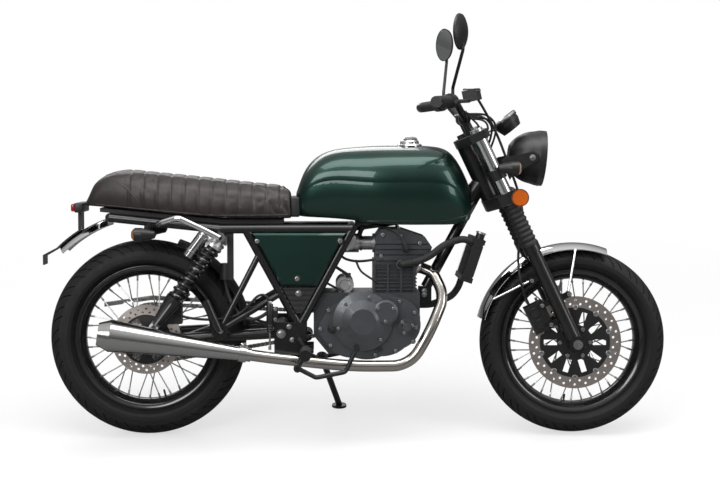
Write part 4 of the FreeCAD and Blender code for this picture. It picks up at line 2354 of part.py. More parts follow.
def rear_lamps():
    lamp = block(Vector(s.tail_lamp_x - s.tail_lamp_depth / 2, 0,
                        s.tail_lamp_base + s.tail_lamp_height / 2),
                 s.tail_lamp_depth, s.tail_lamp_half_width * 2, s.tail_lamp_height)
    keep(lamp, "tail_lamp")
    indicators = []
    for side in (-1, 1):
        centre = Vector(s.rear_indicator_x, side * s.rear_indicator_side, s.rear_indicator_height)
        stalk_to = rail_seat(side, centre, s.frame_tube_radius)
        indicators.append(bullet(centre, s.indicator_radius, s.indicator_length, stalk_to,
                                 s.indicator_stalk_radius, False))
    keep(group(*indicators), "rear_indicators")


def rear_brake():
    """The rear caliper on its bracket, which hangs on the axle, and the brake's reservoir."""
    reach = s.rear_disc_radius * 0.75
    centre = rear_axle_point + Vector(reach, -s.rear_disc_offset, reach)
    slot_half = s.disc_thickness / 2 + s.disc_slot_clearance
    shell = block(centre, s.caliper_depth, (slot_half + s.caliper_wall) * 2, s.caliper_depth)
    plate_out = s.arm_side - s.arm_radius - s.fit_gap
    plate_in = s.rear_disc_offset + slot_half
    plate_middle = -(plate_out + plate_in) / 2
    turn = Rotation(Vector(1, 0, 0), Vector(1, 0, 1))
    hanger = block(rear_axle_point + Vector(reach / 2, plate_middle, reach / 2),
                   reach * 1.5, plate_out - plate_in, s.caliper_depth / 2, turn)
    ring = cross_rod(rear_axle_point + Vector(0, plate_middle, 0), (plate_out - plate_in) / 2,
                     s.spacer_radius * 2)
    hole = cross_rod(rear_axle_point + Vector(0, plate_middle, 0), plate_out - plate_in,
                     s.spacer_radius + s.fit_gap)
    slot = cross_rod(rear_axle_point - Vector(0, s.rear_disc_offset, 0), slot_half,
                     s.rear_disc_radius + s.disc_slot_clearance)
    caliper = cut(fuse(shell, hanger, ring), slot, hole)
    cup = Vector(s.reserve_x, -s.rail_side + s.reserve_radius, s.reserve_base)
    rail_under = s.rail_height - s.frame_tube_radius - s.fit_gap
    strap_length = rail_under - s.reserve_base
    strap = block(Vector(s.reserve_x + s.spacer_radius, -s.rail_side + s.plate_arm_thickness,
                         s.reserve_base + strap_length / 2), s.reserve_radius,
                  s.plate_arm_thickness, strap_length)
    reserve = fuse(rod(cup, cup + Vector(0, 0, s.reserve_height), s.reserve_radius), strap)
    keep(group(caliper, reserve), "rear_brake")


def build():
    front_wheel()
    rear_wheel()
    fork_gap = s.fork_spread - s.axle_boss_half - s.fit_gap
    axle("front_axle", front_axle_point, s.fork_spread + s.axle_boss_half,
         (s.front_disc_offset + s.disc_thickness, fork_gap),
         (fork_gap - s.spacer_radius / 2 + s.running_gap, fork_gap))
    arm_face = s.arm_side - s.arm_plate_thickness / 2
    axle("rear_axle", rear_axle_point, s.arm_side + s.arm_plate_thickness / 2,
         (s.rear_disc_offset + s.disc_thickness, arm_face),
         (s.chain_side + s.sprocket_thickness, arm_face))
    fork_legs()
    fork_clamps()
    front_fender()
    front_caliper()
    headlamp()
    front_indicators()
    side_reflectors()
    gauge()
    handlebar()
    controls()
    brake_hose()
    mirrors()
    frame()
    swingarm()
    shocks()
    tank()
    seat()
    side_covers()
    engine()
    radiator()
    coolant_hoses()
    exhaust()
    foot_pegs()
    foot_levers()
    side_stand()
    chain()
    guard()
    inner_fender()
    tail_fender()
    grab_rails()
    rear_lamps()
    rear_brake()
    doc.recompute()


def check():
    for obj in doc.Objects:
        if "Invalid" in obj.State or "Error" in obj.State:
            raise RuntimeError("%s did not build: %s" % (obj.Name, obj.State))
    for obj in finished:
        if obj.Shape.isNull() or not obj.Shape.isValid() or not obj.Shape.Solids:
            raise RuntimeError("%s has no valid solid" % obj.Label)


def lean_over():
    """Lean the machine onto its stand and centre it over the floor."""
    turn = Rotation(Vector(1, 0, 0), -s.lean_angle)
    leaned = Placement(Vector(0, 0, lean_lift()), turn)
    low = Vector(1e9, 1e9, 1e9)
    high = Vector(-1e9, -1e9, -1e9)
    for obj in finished:
        for point in obj.Shape.tessellate(1.0)[0]:
            spot = leaned.multVec(point)
            low = Vector(min(low.x, spot.x), min(low.y, spot.y), min(low.z, spot.z))
            high = Vector(max(high.x, spot.x), max(high.y, spot.y), max(high.z, spot.z))
    centring = Vector(-(low.x + high.x) / 2, -(low.y + high.y) / 2, -low.z)
    leaned = Placement(leaned.Base + centring, turn)
    for obj in finished:
        obj.Placement = leaned.multiply(obj.Placement)
    print("box", low, high)
    return leaned


build()
check()
parked = lean_over()
doc.recompute()
check()
os.makedirs("parts", exist_ok=True)
for node in finished:
    node.Shape.exportStep("parts/%s.step" % node.Label)
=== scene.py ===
import json
import math

import bpy
from mathutils import Matrix, Vector


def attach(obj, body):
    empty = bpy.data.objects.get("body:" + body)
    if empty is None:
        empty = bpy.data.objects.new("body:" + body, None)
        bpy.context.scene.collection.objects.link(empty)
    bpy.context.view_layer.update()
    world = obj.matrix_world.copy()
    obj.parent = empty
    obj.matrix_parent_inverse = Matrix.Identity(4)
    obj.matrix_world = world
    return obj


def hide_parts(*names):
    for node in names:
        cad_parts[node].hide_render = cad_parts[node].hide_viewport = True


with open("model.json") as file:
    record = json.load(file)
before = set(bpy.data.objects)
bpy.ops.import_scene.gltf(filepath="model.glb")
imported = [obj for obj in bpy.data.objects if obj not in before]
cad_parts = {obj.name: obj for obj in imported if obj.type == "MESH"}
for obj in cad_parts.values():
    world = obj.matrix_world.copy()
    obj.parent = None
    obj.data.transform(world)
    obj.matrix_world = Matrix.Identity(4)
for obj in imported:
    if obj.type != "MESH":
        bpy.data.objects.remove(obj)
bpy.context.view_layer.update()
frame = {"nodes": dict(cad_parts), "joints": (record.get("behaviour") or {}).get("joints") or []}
bpy.ops.object.select_all(action="DESELECT")

# The machine is modelled upright, x forward from the rear axle, y to its left and z up, and every
# finished piece is then leaned onto the side stand with the rest of the machine.
JOINTS = {joint["name"]: joint for joint in frame["joints"]}
REAR_RADIUS = 0.307
FRONT_RADIUS = 0.293
WHEELBASE = 1.338
lean_axis = JOINTS["rear_wheel_spin"]["axis"]
LEAN = math.atan2(-lean_axis[2], lean_axis[1])
LEAN_TURN = Matrix.Rotation(-LEAN, 4, "X")
rear_axle_parked = Vector(JOINTS["rear_wheel_spin"]["pos_m"])
PARKED = Matrix.Translation(rear_axle_parked - LEAN_TURN @ Vector((0, 0, REAR_RADIUS))) @ LEAN_TURN
REAR_AXLE = Vector((0, 0, REAR_RADIUS))
FRONT_AXLE = Vector((WHEELBASE, 0, FRONT_RADIUS))
RAKE = math.radians(25.5)
LEG_UP = Vector((-math.sin(RAKE), 0, math.cos(RAKE)))
LEG_AHEAD = Vector((math.cos(RAKE), 0, math.sin(RAKE)))
LEFT = Vector((0, 1, 0))
RIGHT = Vector((0, -1, 0))
UP = Vector((0, 0, 1))
AHEAD = Vector((1, 0, 0))


def fork_point(up, forward=0.0, side=0.0):
    """A point placed from the front axle: up the legs, ahead of them, and to the left."""
    return FRONT_AXLE + LEG_UP * up + LEG_AHEAD * forward + LEFT * side


def deselect():
    """Leave edit mode and select nothing."""
    if bpy.context.object and bpy.context.object.mode != "OBJECT":
        bpy.ops.object.mode_set(mode="OBJECT")
    bpy.ops.object.select_all(action="DESELECT")


def pick(obj):
    """Make one object the only selected and active one."""
    deselect()
    obj.select_set(True)
    bpy.context.view_layer.objects.active = obj
    return obj


def edit_all(obj):
    """Open a piece in edit mode with everything selected."""
    pick(obj)
    bpy.ops.object.mode_set(mode="EDIT")
    bpy.ops.mesh.select_all(action="SELECT")


def close_up(obj):
    """Merge doubles and turn the faces outwards."""
    edit_all(obj)
    bpy.ops.mesh.remove_doubles(threshold=0.00002)
    bpy.ops.mesh.normals_make_consistent(inside=False)
    bpy.ops.object.mode_set(mode="OBJECT")
    return obj


def with_modifier(obj, kind, **settings):
    """Add a modifier, set it and apply it."""
    pick(obj)
    modifier = obj.modifiers.new(kind.title(), kind)
    for key, value in settings.items():
        setattr(modifier, key, value)
    bpy.ops.object.modifier_apply(modifier=modifier.name)
    return obj


def bevelled(obj, width, segments=2, angle=40):
    """Round the edges that turn by more than an angle."""
    return with_modifier(obj, "BEVEL", width=width, segments=segments, limit_method="ANGLE",
                         angle_limit=math.radians(angle), harden_normals=False)


def smooth(obj, angle=35):
    """Shade smoothly, except over edges that turn by more than an angle."""
    pick(obj)
    bpy.ops.object.shade_smooth_by_angle(angle=math.radians(angle))
    return obj


def joined(name, pieces):
    """Join several pieces into one object."""
    deselect()
    for piece in pieces:
        piece.select_set(True)
    bpy.context.view_layer.objects.active = pieces[0]
    if len(pieces) > 1:
        bpy.ops.object.join()
    whole = bpy.context.object
    whole.name = name
    return whole


def settled(obj):
    """Put the object's place and turn into its mesh."""
    pick(obj)
    bpy.ops.object.transform_apply(location=True, rotation=True, scale=True)
    return obj


def copy_of(obj, matrix):
    """A copy with its own mesh, moved by a matrix."""
    twin = obj.copy()
    twin.data = obj.data.copy()
    bpy.context.scene.collection.objects.link(twin)
    twin.data.transform(matrix)
    if matrix.determinant() < 0:
        twin.data.flip_normals()
    return twin


def aimed(place, direction, roll=0.0):
    """A matrix that puts a piece drawn along z at a place, along a direction."""
    turn = Vector(direction).to_track_quat("Z", "Y").to_matrix().to_4x4()
    return Matrix.Translation(place) @ turn @ Matrix.Rotation(roll, 4, "Z")


def bar(start, end, radius, sides=24, edge=0.0):
    """A round bar between two points."""
    start, end = Vector(start), Vector(end)
    way = end - start
    deselect()
    bpy.ops.mesh.primitive_cylinder_add(
        vertices=sides, radius=radius, depth=way.length, location=(start + end) / 2,
        rotation=way.to_track_quat("Z", "Y").to_euler())
    obj = settled(bpy.context.object)
    return bevelled(obj, edge) if edge else obj


def slab(centre, size, turn=None, edge=0.001, segments=2):
    """A box with softened edges, turned by a matrix when one is given."""
    deselect()
    bpy.ops.mesh.primitive_cube_add(size=1, location=(0, 0, 0), scale=size)
    obj = settled(bpy.context.object)
    if edge:
        bevelled(obj, edge, segments)
    obj.data.transform(Matrix.Translation(centre) @ (turn or Matrix()))
    return obj


def turned(base, direction, rings, sides=64, ring_closed=False, roll=0.0):
    """A turned piece: a circle drawn out ring by ring. Rings are (along the axis, radius)."""
    deselect()
    bpy.ops.mesh.primitive_circle_add(vertices=sides, radius=rings[0][1], location=(0, 0, 0))
    bpy.ops.object.mode_set(mode="EDIT")
    bpy.ops.mesh.select_all(action="SELECT")
    bpy.ops.transform.translate(value=(0, 0, rings[0][0]))
    for (before, size), (along, radius) in zip(rings, rings[1:]):
        bpy.ops.mesh.extrude_region_move(
            TRANSFORM_OT_translate={"value": (0, 0, along - before)})
        scale = radius / size
        bpy.ops.transform.resize(value=(scale, scale, 1), center_override=(0, 0, along))
    bpy.ops.mesh.select_all(action="SELECT")
    bpy.ops.mesh.remove_doubles(threshold=0.00001)
    if not ring_closed:
        bpy.ops.mesh.fill_holes(sides=0)
    bpy.ops.mesh.normals_make_consistent(inside=False)
    bpy.ops.object.mode_set(mode="OBJECT")
    obj = bpy.context.object
    obj.data.transform(aimed(base, direction, roll))
    return obj


def band(place, way, low, high, width, ease, sides):
    """A raised band round an axis, with an eased edge on both sides."""
    return turned(place, way, [(0, low), (ease, high), (width - ease, high), (width, low)], sides)


def swept(obj, radius, steps, sides):
    """Turn a curve object into a round tube with closed ends."""
    curve = obj.data
    curve.resolution_u = steps
    curve.bevel_depth = radius
    curve.bevel_resolution = sides
    curve.use_fill_caps = True
    pick(obj)
    bpy.ops.object.convert(target="MESH")
    return close_up(bpy.context.object)


def wire(points, radius, order=3, smooth_steps=12, sides=4):
    """A round wire or hose along one smooth curve."""
    deselect()
    bpy.ops.curve.primitive_nurbs_path_add(location=(0, 0, 0))
    obj = bpy.context.object
    obj.data.splines.remove(obj.data.splines[0])
    spline = obj.data.splines.new("NURBS")
    spline.points.add(len(points) - 1)
    for knot, place in zip(spline.points, points):
        knot.co = (*place, 1)
    spline.order_u = order
    spline.use_endpoint_u = True
    return swept(obj, radius, smooth_steps, sides)


def bent(points, radius, corner, sides=6, corner_steps=8):
    """A bent tube: straight runs with round corners."""
    deselect()
    bpy.ops.curve.primitive_bezier_curve_add(location=(0, 0, 0))
    obj = bpy.context.object
    obj.data.splines.remove(obj.data.splines[0])
    spline = obj.data.splines.new("BEZIER")
    places = [Vector(place) for place in points]
    knots = [(places[0], places[0], places[0])]
    for before, here, after in zip(places, places[1:], places[2:]):
        back, on = (before - here).normalized(), (after - here).normalized()
        half = (math.pi - back.angle(on)) / 2
        reach = min(corner * math.tan(half), (before - here).length * 0.49,
                    (after - here).length * 0.49)
        pull = reach * 0.45
        first, last = here + back * reach, here + on * reach
        knots.append((first, first, here + back * pull))
        knots.append((last, here + on * pull, last))
    knots.append((places[-1], places[-1], places[-1]))
    spline.bezier_points.add(len(knots) - 1)
    for knot, (place, left, right) in zip(spline.bezier_points, knots):
        knot.handle_left_type = "FREE"
        knot.handle_right_type = "FREE"
        knot.co, knot.handle_left, knot.handle_right = place, left, right
    return swept(obj, radius, corner_steps, sides)


def plate(outline, thickness, edge=0.0, segments=2):
    """A flat plate from an outline in its own x and y, with z through its thickness."""
    deselect()
    bpy.ops.mesh.primitive_circle_add(vertices=len(outline), radius=1, fill_type="NGON")
    obj = bpy.context.object
    for vertex, (x, y) in zip(obj.data.vertices, outline):
        vertex.co = (x, y, -thickness / 2)
    bpy.ops.object.mode_set(mode="EDIT")
    bpy.ops.mesh.select_all(action="SELECT")
    bpy.ops.mesh.extrude_region_move(TRANSFORM_OT_translate={"value": (0, 0, thickness)})
    bpy.ops.mesh.select_all(action="SELECT")
    bpy.ops.mesh.normals_make_consistent(inside=False)
    bpy.ops.object.mode_set(mode="OBJECT")
    return bevelled(obj, edge, segments) if edge else obj


FACE_RIGHT = Matrix.Rotation(math.pi / 2, 4, "X")


def side_plate(outline, y, thickness, edge=0.0, segments=2):
    """A plate that stands lengthwise at one y, its outline given as (x, z)."""
    obj = plate(outline, thickness, edge, segments)
    obj.data.transform(Matrix.Translation((0, y, 0)) @ FACE_RIGHT)
    return obj


def hex_bolt(radius, height):
    """A hexagon head on its washer, pointing up z from the origin."""
    washer = bar((0, 0, 0), (0, 0, height * 0.25), radius * 1.35, 20)
    head = bar((0, 0, height * 0.2), (0, 0, height), radius, 6, radius * 0.08)
    return joined("Bolt", [washer, head])


def cap_bolt(radius, height):
    """A round head with a sunk hexagon, pointing up z from the origin."""
    head = bar((0, 0, 0), (0, 0, height), radius, 24, radius * 0.1)
    pick(head)
    bpy.ops.object.mode_set(mode="EDIT")
    bpy.ops.mesh.select_all(action="DESELECT")
    bpy.ops.object.mode_set(mode="OBJECT")
    top = max(head.data.polygons, key=lambda face: face.center.z)
    top.select = True
    bpy.ops.object.mode_set(mode="EDIT")
    bpy.ops.mesh.inset(thickness=radius * 0.4, depth=0)
    bpy.ops.mesh.inset(thickness=radius * 0.02, depth=-height * 0.6)
    bpy.ops.object.mode_set(mode="OBJECT")
    return head


def scattered(name, master, places):
    """Copies of one small piece at several places, joined; the master is used up."""
    copies = [copy_of(master, aimed(*place)) for place in places]
    bpy.data.objects.remove(master)
    return joined(name, copies)


def done(piece, name, body, material, *nodes, slot=None, angle=35):
    """Join a finished piece, lean it, give it its material and tie it to its body. The slot is not
    used.
    """
    obj = joined(name, piece) if isinstance(piece, list) else piece
    obj.name = name
    smooth(obj, angle)
    obj.data.transform(PARKED)
    obj.data.update()
    if not obj.data.materials:
        obj.data.materials.append(material)
    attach(obj, body)
    if nodes:
        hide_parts(*nodes)
    return obj


def fastened(name, body, master, places):
    """Zinc-plated bolts, nuts or pins: copies of one master at several places."""
    return done(scattered(name, master, places), name, body, ZINC)


def painted(obj, *materials):
    """Give a piece its materials, one for all or by index."""
    obj.data.materials.clear()
    for material in materials:
        obj.data.materials.append(material)
    return obj


def free_copy(node, name):
    """A copy of a solid's mesh that is tied to nothing, without materials."""
    source = frame["nodes"][node]
    obj = source.copy()
    obj.data = source.data.copy()
    bpy.context.scene.collection.objects.link(obj)
    for key in list(obj.keys()):
        del obj[key]
    obj.parent = None
    obj.matrix_world = Matrix()
    obj.hide_viewport = obj.hide_render = False
    obj.hide_set(False)
    obj.name = name
    obj.data.materials.clear()
    return obj


def upright_copy(node, name):
    """A free copy of a solid's mesh, stood upright and cleaned."""
    obj = free_copy(node, name)
    obj.data.transform(PARKED.inverted())
    return close_up(obj)


def dressed(node, body, material, angle=32):
    """A merged copy of a CAD piece with smooth shading, which stands for it."""
    obj = free_copy(node, node + "_look")
    edit_all(obj)
    bpy.ops.mesh.remove_doubles(threshold=0.00001)
    bpy.ops.mesh.dissolve_limited(angle_limit=math.radians(1))
    bpy.ops.object.mode_set(mode="OBJECT")
    smooth(obj, angle)
    obj.data.materials.append(material)
    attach(obj, body)
    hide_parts(node)
    return obj


def on_surface(obj, start, way, lift=0.0):
    """The point where a line first meets a piece, lifted off it a little."""
    hit, place, normal, face = obj.ray_cast(Vector(start), Vector(way))
    return place + normal * lift if hit else None


def seated(node, starts):
    """Places on a solid's surface. Starts are (a point clear of it, the way that it faces)."""
    guide = upright_copy(node, "Guide")
    spots = [(on_surface(guide, start, -way), way) for start, way in starts]
    bpy.data.objects.remove(guide)
    return [(spot, way) for spot, way in spots if spot is not None]


def mirrored(*spots):
    """The same places on both sides, facing outwards. Spots are (x, out to the side, z)."""
    return [((x, side * y, z), LEFT * side) for side in (-1, 1) for x, y, z in spots]


# Finishes: each is a small node tree on the piece's own coordinates.

def feed(tree, node, inputs):
    """Set a node's inputs. Each is a fixed value, or the socket that feeds it."""
    for key, value in inputs.items():
        if isinstance(value, bpy.types.NodeSocket):
            tree.links.new(value, node.inputs[key])
        else:
            node.inputs[key].default_value = value


def add_node(tree, kind, inputs=None, **settings):
    """Add a node with its settings and inputs."""
    node = tree.nodes.new(kind)
    for key, value in settings.items():
        setattr(node, key, value)
    feed(tree, node, inputs or {})
    return node


def colour_ramp(tree, source, stops):
    """Colours by a socket's value. Stops are (position, colour), lowest first."""
    ramp = add_node(tree, "ShaderNodeValToRGB", {"Fac": source})
    elements = ramp.color_ramp.elements
    while len(elements) < len(stops):
        elements.new(1.0)
    for step, (position, colour) in enumerate(stops):
        elements[step].position = position
        elements[step].color = (*colour, 1)
    return ramp.outputs["Color"]


def finish(name, colour, metallic=0.0, roughness=0.5, mottle=0.12, mottle_scale=14.0,
           grain=0.0, grain_scale=900.0, stretch=(1, 1, 1), swing=0.1, coat=0.0,
           coat_roughness=0.06, dust=0.0, grain_kind="NOISE", specular=0.5, tint=None):
    """A material with mottled colour, uneven roughness and a fine grain in relief."""
    material = bpy.data.materials.new(name)
    material.use_nodes = True
    tree = material.node_tree
    place = add_node(tree, "ShaderNodeTexCoord").outputs["Object"]
    fit = add_node(tree, "ShaderNodeMapping",
                   {"Vector": place, "Scale": stretch}).outputs["Vector"]
    cloud = add_node(tree, "ShaderNodeTexNoise",
                     {"Vector": fit, "Scale": mottle_scale, "Detail": 6}).outputs["Fac"]
    speck = add_node(tree, "ShaderNodeTexNoise",
                     {"Vector": fit, "Scale": mottle_scale * 7, "Detail": 5}).outputs["Fac"]
    shade = colour_ramp(tree, cloud, (
        (0.3, [channel * (1 - mottle) for channel in colour]),
        (0.7, [min(1.0, channel * (1 + mottle)) for channel in (tint or colour)])))
    polish = add_node(tree, "ShaderNodeMapRange", {
        "Value": speck, "From Min": 0.3, "From Max": 0.7,
        "To Min": max(0.02, roughness - swing / 2), "To Max": min(1.0, roughness + swing / 2)})
    if dust:
        normal = add_node(tree, "ShaderNodeNewGeometry").outputs["Normal"]
        split = add_node(tree, "ShaderNodeSeparateXYZ", {"Vector": normal})
        settle = add_node(tree, "ShaderNodeMath", {0: split.outputs["Z"], 1: speck},
                          operation="MULTIPLY")
        amount = add_node(tree, "ShaderNodeMapRange", {
            "Value": settle.outputs["Value"], "From Min": 0.1, "From Max": 0.6, "To Max": dust})
        shade = add_node(tree, "ShaderNodeMix", {
            "Factor": amount.outputs["Result"], "A": shade, "B": (0.35, 0.34, 0.32, 1)},
                         data_type="RGBA").outputs["Result"]
    shader = tree.nodes["Principled BSDF"]
    feed(tree, shader, {
        "Base Color": shade, "Metallic": metallic, "Roughness": polish.outputs["Result"],
        "Coat Weight": coat, "Coat Roughness": coat_roughness, "Specular IOR Level": specular})
    if grain:
        if grain_kind == "PEBBLE":
            height = add_node(tree, "ShaderNodeTexVoronoi", {"Vector": fit, "Scale": grain_scale},
                              feature="DISTANCE_TO_EDGE").outputs["Distance"]
        else:
            height = add_node(tree, "ShaderNodeTexNoise", {
                "Vector": fit, "Scale": grain_scale, "Detail": 3}).outputs["Fac"]
        relief = add_node(tree, "ShaderNodeBump", {
            "Strength": 0.5, "Distance": grain, "Height": height})
        feed(tree, shader, {"Normal": relief.outputs["Normal"]})
    return material


def lens(name, colour, roughness=0.08, through=0.55, ribs=260.0):
    """A tinted lens that lets some light through, with fine moulded ribs behind its face."""
    material = finish(name, colour, roughness=roughness, mottle=0.06, grain=0.0004,
                      grain_scale=ribs, coat=0.6, swing=0.04, grain_kind="PEBBLE")
    shader = material.node_tree.nodes["Principled BSDF"]
    shader.inputs["Transmission Weight"].default_value = through
    shader.inputs["IOR"].default_value = 1.46
    return material


GREEN = finish("TankGreen", (0.0085, 0.0335, 0.0255), metallic=0.80, roughness=0.33, mottle=0.08,
               mottle_scale=3.0, grain=0.00002, grain_scale=3500, swing=0.04, coat=0.55,
               coat_roughness=0.02, tint=(0.0100, 0.0380, 0.0290))
FRAME_BLACK = finish("FrameBlack", (0.006, 0.006, 0.0065), roughness=0.30, mottle=0.2,
                     grain=0.00002, grain_scale=700, swing=0.06, coat=0.3, coat_roughness=0.10,
                     dust=0.02, specular=0.4)
RIM_BLACK = finish("RimBlack", (0.006, 0.006, 0.0065), roughness=0.22, mottle=0.15, swing=0.08,
                   coat=0.7, coat_roughness=0.05, dust=0.02)
SATIN_BLACK = finish("SatinBlack", (0.007, 0.007, 0.0075), roughness=0.42, mottle=0.15,
                     grain=0.00002, grain_scale=900, swing=0.08)
PLASTIC = finish("MouldedBlack", (0.009, 0.009, 0.0095), roughness=0.55, mottle=0.2,
                 grain=0.0001, grain_scale=1100, swing=0.12, dust=0.04)
RUBBER = finish("SoftRubber", (0.008, 0.008, 0.008), roughness=0.72, mottle=0.25,
                grain=0.00015, grain_scale=1300, swing=0.12, dust=0.05)
TYRE = finish("TyreRubber", (0.0065, 0.0065, 0.007), roughness=0.62, mottle=0.3, mottle_scale=9,
              grain=0.0001, grain_scale=1800, swing=0.16, specular=0.3, dust=0.015)
CASTING = finish("EngineCasting", (0.052, 0.056, 0.062), metallic=0.55, roughness=0.46,
                 mottle=0.14, mottle_scale=20, grain=0.0003, grain_scale=750, swing=0.12,
                 dust=0.05)
CASE_COVER = finish("CoverCasting", (0.070, 0.075, 0.082), metallic=0.6, roughness=0.40,
                    mottle=0.1, grain=0.00012, grain_scale=900, swing=0.1, coat=0.2)
CHROME = finish("Chrome", (0.78, 0.78, 0.79), metallic=1.0, roughness=0.06, mottle=0.04,
                swing=0.05)
STEEL = finish("BrushedSteel", (0.44, 0.435, 0.43), metallic=1.0, roughness=0.18, mottle=0.04,
               grain=0.00001, grain_scale=420, stretch=(1, 9, 9), swing=0.05)
HEADER = finish("HeatedSteel", (0.46, 0.44, 0.42), metallic=1.0, roughness=0.18, mottle=0.07,
                mottle_scale=8, swing=0.05, tint=(0.49, 0.455, 0.41))
ALLOY = finish("SilverAlloy", (0.55, 0.55, 0.56), metallic=0.9, roughness=0.36, mottle=0.08,
               grain=0.00012, grain_scale=1200, swing=0.12)
ZINC = finish("ZincPlate", (0.42, 0.42, 0.43), metallic=1.0, roughness=0.3, mottle=0.16,
              mottle_scale=60, swing=0.16)
BLACK_CHROME = finish("BlackChrome", (0.26, 0.26, 0.27), metallic=1.0, roughness=0.13, mottle=0.05,
                      swing=0.05)
CHAIN_STEEL = finish("ChainSteel", (0.20, 0.19, 0.18), metallic=1.0, roughness=0.4, mottle=0.3,
                     mottle_scale=90, swing=0.2)
LEATHER = finish("SaddleLeather", (0.0125, 0.0082, 0.0070), roughness=0.46, mottle=0.16,
                 mottle_scale=10, grain=0.0007, grain_scale=520, swing=0.14,
                 grain_kind="PEBBLE", tint=(0.0165, 0.0106, 0.0090))
PIPING = finish("PipingLeather", (0.018, 0.013, 0.012), roughness=0.5, mottle=0.2, grain=0.0003,
                grain_scale=1500, swing=0.1)
RED = finish("SwitchRed", (0.42, 0.012, 0.010), roughness=0.35, mottle=0.1, swing=0.08)
DIAL = finish("DialFace", (0.010, 0.010, 0.012), roughness=0.4, mottle=0.1, swing=0.06)
DIAL_MARK = finish("DialMark", (0.72, 0.72, 0.70), roughness=0.5, mottle=0.04, swing=0.06)
MIRROR_GLASS = finish("MirrorGlass", (0.86, 0.87, 0.88), metallic=1.0, roughness=0.03,
                      mottle=0.02, swing=0.01)
ORANGE_LENS = lens("OrangeReflector", (0.50, 0.095, 0.004), through=0.10, ribs=420)
AMBER_LENS = lens("SmokedAmber", (0.34, 0.13, 0.030), through=0.35)
SMOKE_LENS = lens("SmokedClear", (0.50, 0.33, 0.24), through=0.45)
CLEAR_LENS = lens("ClearLens", (0.80, 0.82, 0.84), roughness=0.04, through=0.75, ribs=130)
RED_LENS = lens("RedLens", (0.36, 0.008, 0.008), through=0.3)

# What the solids wear that show as they are. Those that aren't named are satin black.
NODE_FINISH = {node: material for material, names in (
    (FRAME_BLACK, "fork_sliders handlebar frame swingarm foot_pegs side_stand"),
    (CHROME, "fork_stanchions front_fender chain_guard tail_fender grab_rails"),
    (RUBBER, "fork_gaiters grips brake_hose coolant_hoses"),
    (PLASTIC, "controls seat_pan side_panels inner_fender"), (GREEN, "tank side_covers"),
    (CASTING, "crankcase cylinder cylinder_head"), (CASE_COVER, "engine_covers"),
    (CHAIN_STEEL, "rear_sprocket chain"), (ZINC, "front_axle rear_axle"), (ALLOY, "intake"),
    (HEADER, "header_pipe"), (STEEL, "silencer"), (CLEAR_LENS, "headlamp_lens"),
    (ORANGE_LENS, "side_reflectors")) for node in names.split()}
for node, piece in frame["nodes"].items():
    painted(piece, NODE_FINISH.get(node, SATIN_BLACK))


# Wheels: treaded tyres, rims with their spokes' nipples, and two-tone discs and hubs.
RIM_SEAT = 0.2163
FLANGE_RADIUS = 0.227
RIM_HALF = 0.039
SPOKES = 36


def tyre(name, body, node, centre, radius, half_width, shoulder_half, shoulder_drop, pitches,
         longest):
    """A tyre with a round crown, a stepped side wall and slanted tread grooves."""
    crown = (shoulder_half ** 2 + shoulder_drop ** 2) / (2 * shoulder_drop)
    sweep = math.asin(shoulder_half / crown)
    edge_radius = radius - shoulder_drop
    wall = [(0.0345, RIM_SEAT), (0.0345, FLANGE_RADIUS + 0.0008), (0.041, 0.2315),
            (half_width - 0.007, 0.2385), (half_width - 0.003, 0.245),
            (half_width - 0.0024, 0.2462), (half_width - 0.0012, 0.2466),
            (half_width - 0.0006, 0.2535), (half_width - 0.0012, 0.2600),
            (half_width - 0.0024, 0.2604), (half_width - 0.0048, edge_radius - 0.0055)]
    wall = [(side, min(high, edge_radius - 0.004)) for side, high in wall]
    crest = [(crown * math.sin(sweep * step / 9), radius - crown * (1 - math.cos(sweep * step / 9)))
             for step in range(-9, 10)]
    inner = [(half_width - 0.011, 0.254), (0.034, 0.236), (0.026, RIM_SEAT)]
    rings = [(-side, high) for side, high in wall] + crest + wall[::-1]
    rings += [(side, high) for side, high in inner[::-1]]
    rings += [(0.0, radius - 0.012)]
    rings += [(-side, high) for side, high in inner]
    rings.append(rings[0])
    body_mesh = turned(centre, LEFT, rings, 144, ring_closed=True)

    def tread_point(side, angle, out=0.0):
        """A point on the crown or out from it, at an angle round the wheel."""
        tilt = math.asin(max(-1, min(1, side / crown)))
        reach = radius - crown * (1 - math.cos(tilt)) + out * math.cos(tilt)
        return centre + Vector((reach * math.sin(angle), side + out * math.sin(tilt),
                                reach * math.cos(angle)))

    cutters = []
    for way in (-1, 1):
        for groove_start, groove_end, turn_start, turn_end, runs in (
                (0.10, 1.10, 0.0, 0.80, 4), (0.42, 1.06, 0.58, 1.14, 3)):
            last = None
            for step in range(runs + 1):
                share = step / runs
                side = way * shoulder_half * (groove_start + (groove_end - groove_start) * share)
                angle = (turn_start + (turn_end - turn_start) * share ** 0.8) * longest
                here = tread_point(side, angle)
                if last is not None:
                    out = (tread_point(side, angle, 0.01) - here).normalized()
                    run = here - last
                    along = run.normalized()
                    across = out.cross(along).normalized()
                    turn = Matrix((along, across, along.cross(across))).transposed().to_4x4()
                    width = 0.0040 - 0.0010 * share
                    cutters.append(slab((here + last) / 2 + out * 0.0010,
                                        (run.length * 1.12, width, 0.0115), turn, 0))
                last = here
    one = joined("Groove", cutters)
    spread = []
    for pitch in range(pitches):
        shift = Matrix.Translation(centre) @ Matrix.Rotation(
            2 * math.pi * pitch / pitches, 4, "Y") @ Matrix.Translation(-centre)
        spread.append(copy_of(one, shift))
    bpy.data.objects.remove(one)
    knife = joined("Grooves", spread)
    with_modifier(body_mesh, "BOOLEAN", operation="DIFFERENCE", solver="EXACT", use_self=True,
                  object=knife)
    bpy.data.objects.remove(knife)
    return done(body_mesh, name, body, TYRE, node, angle=28)


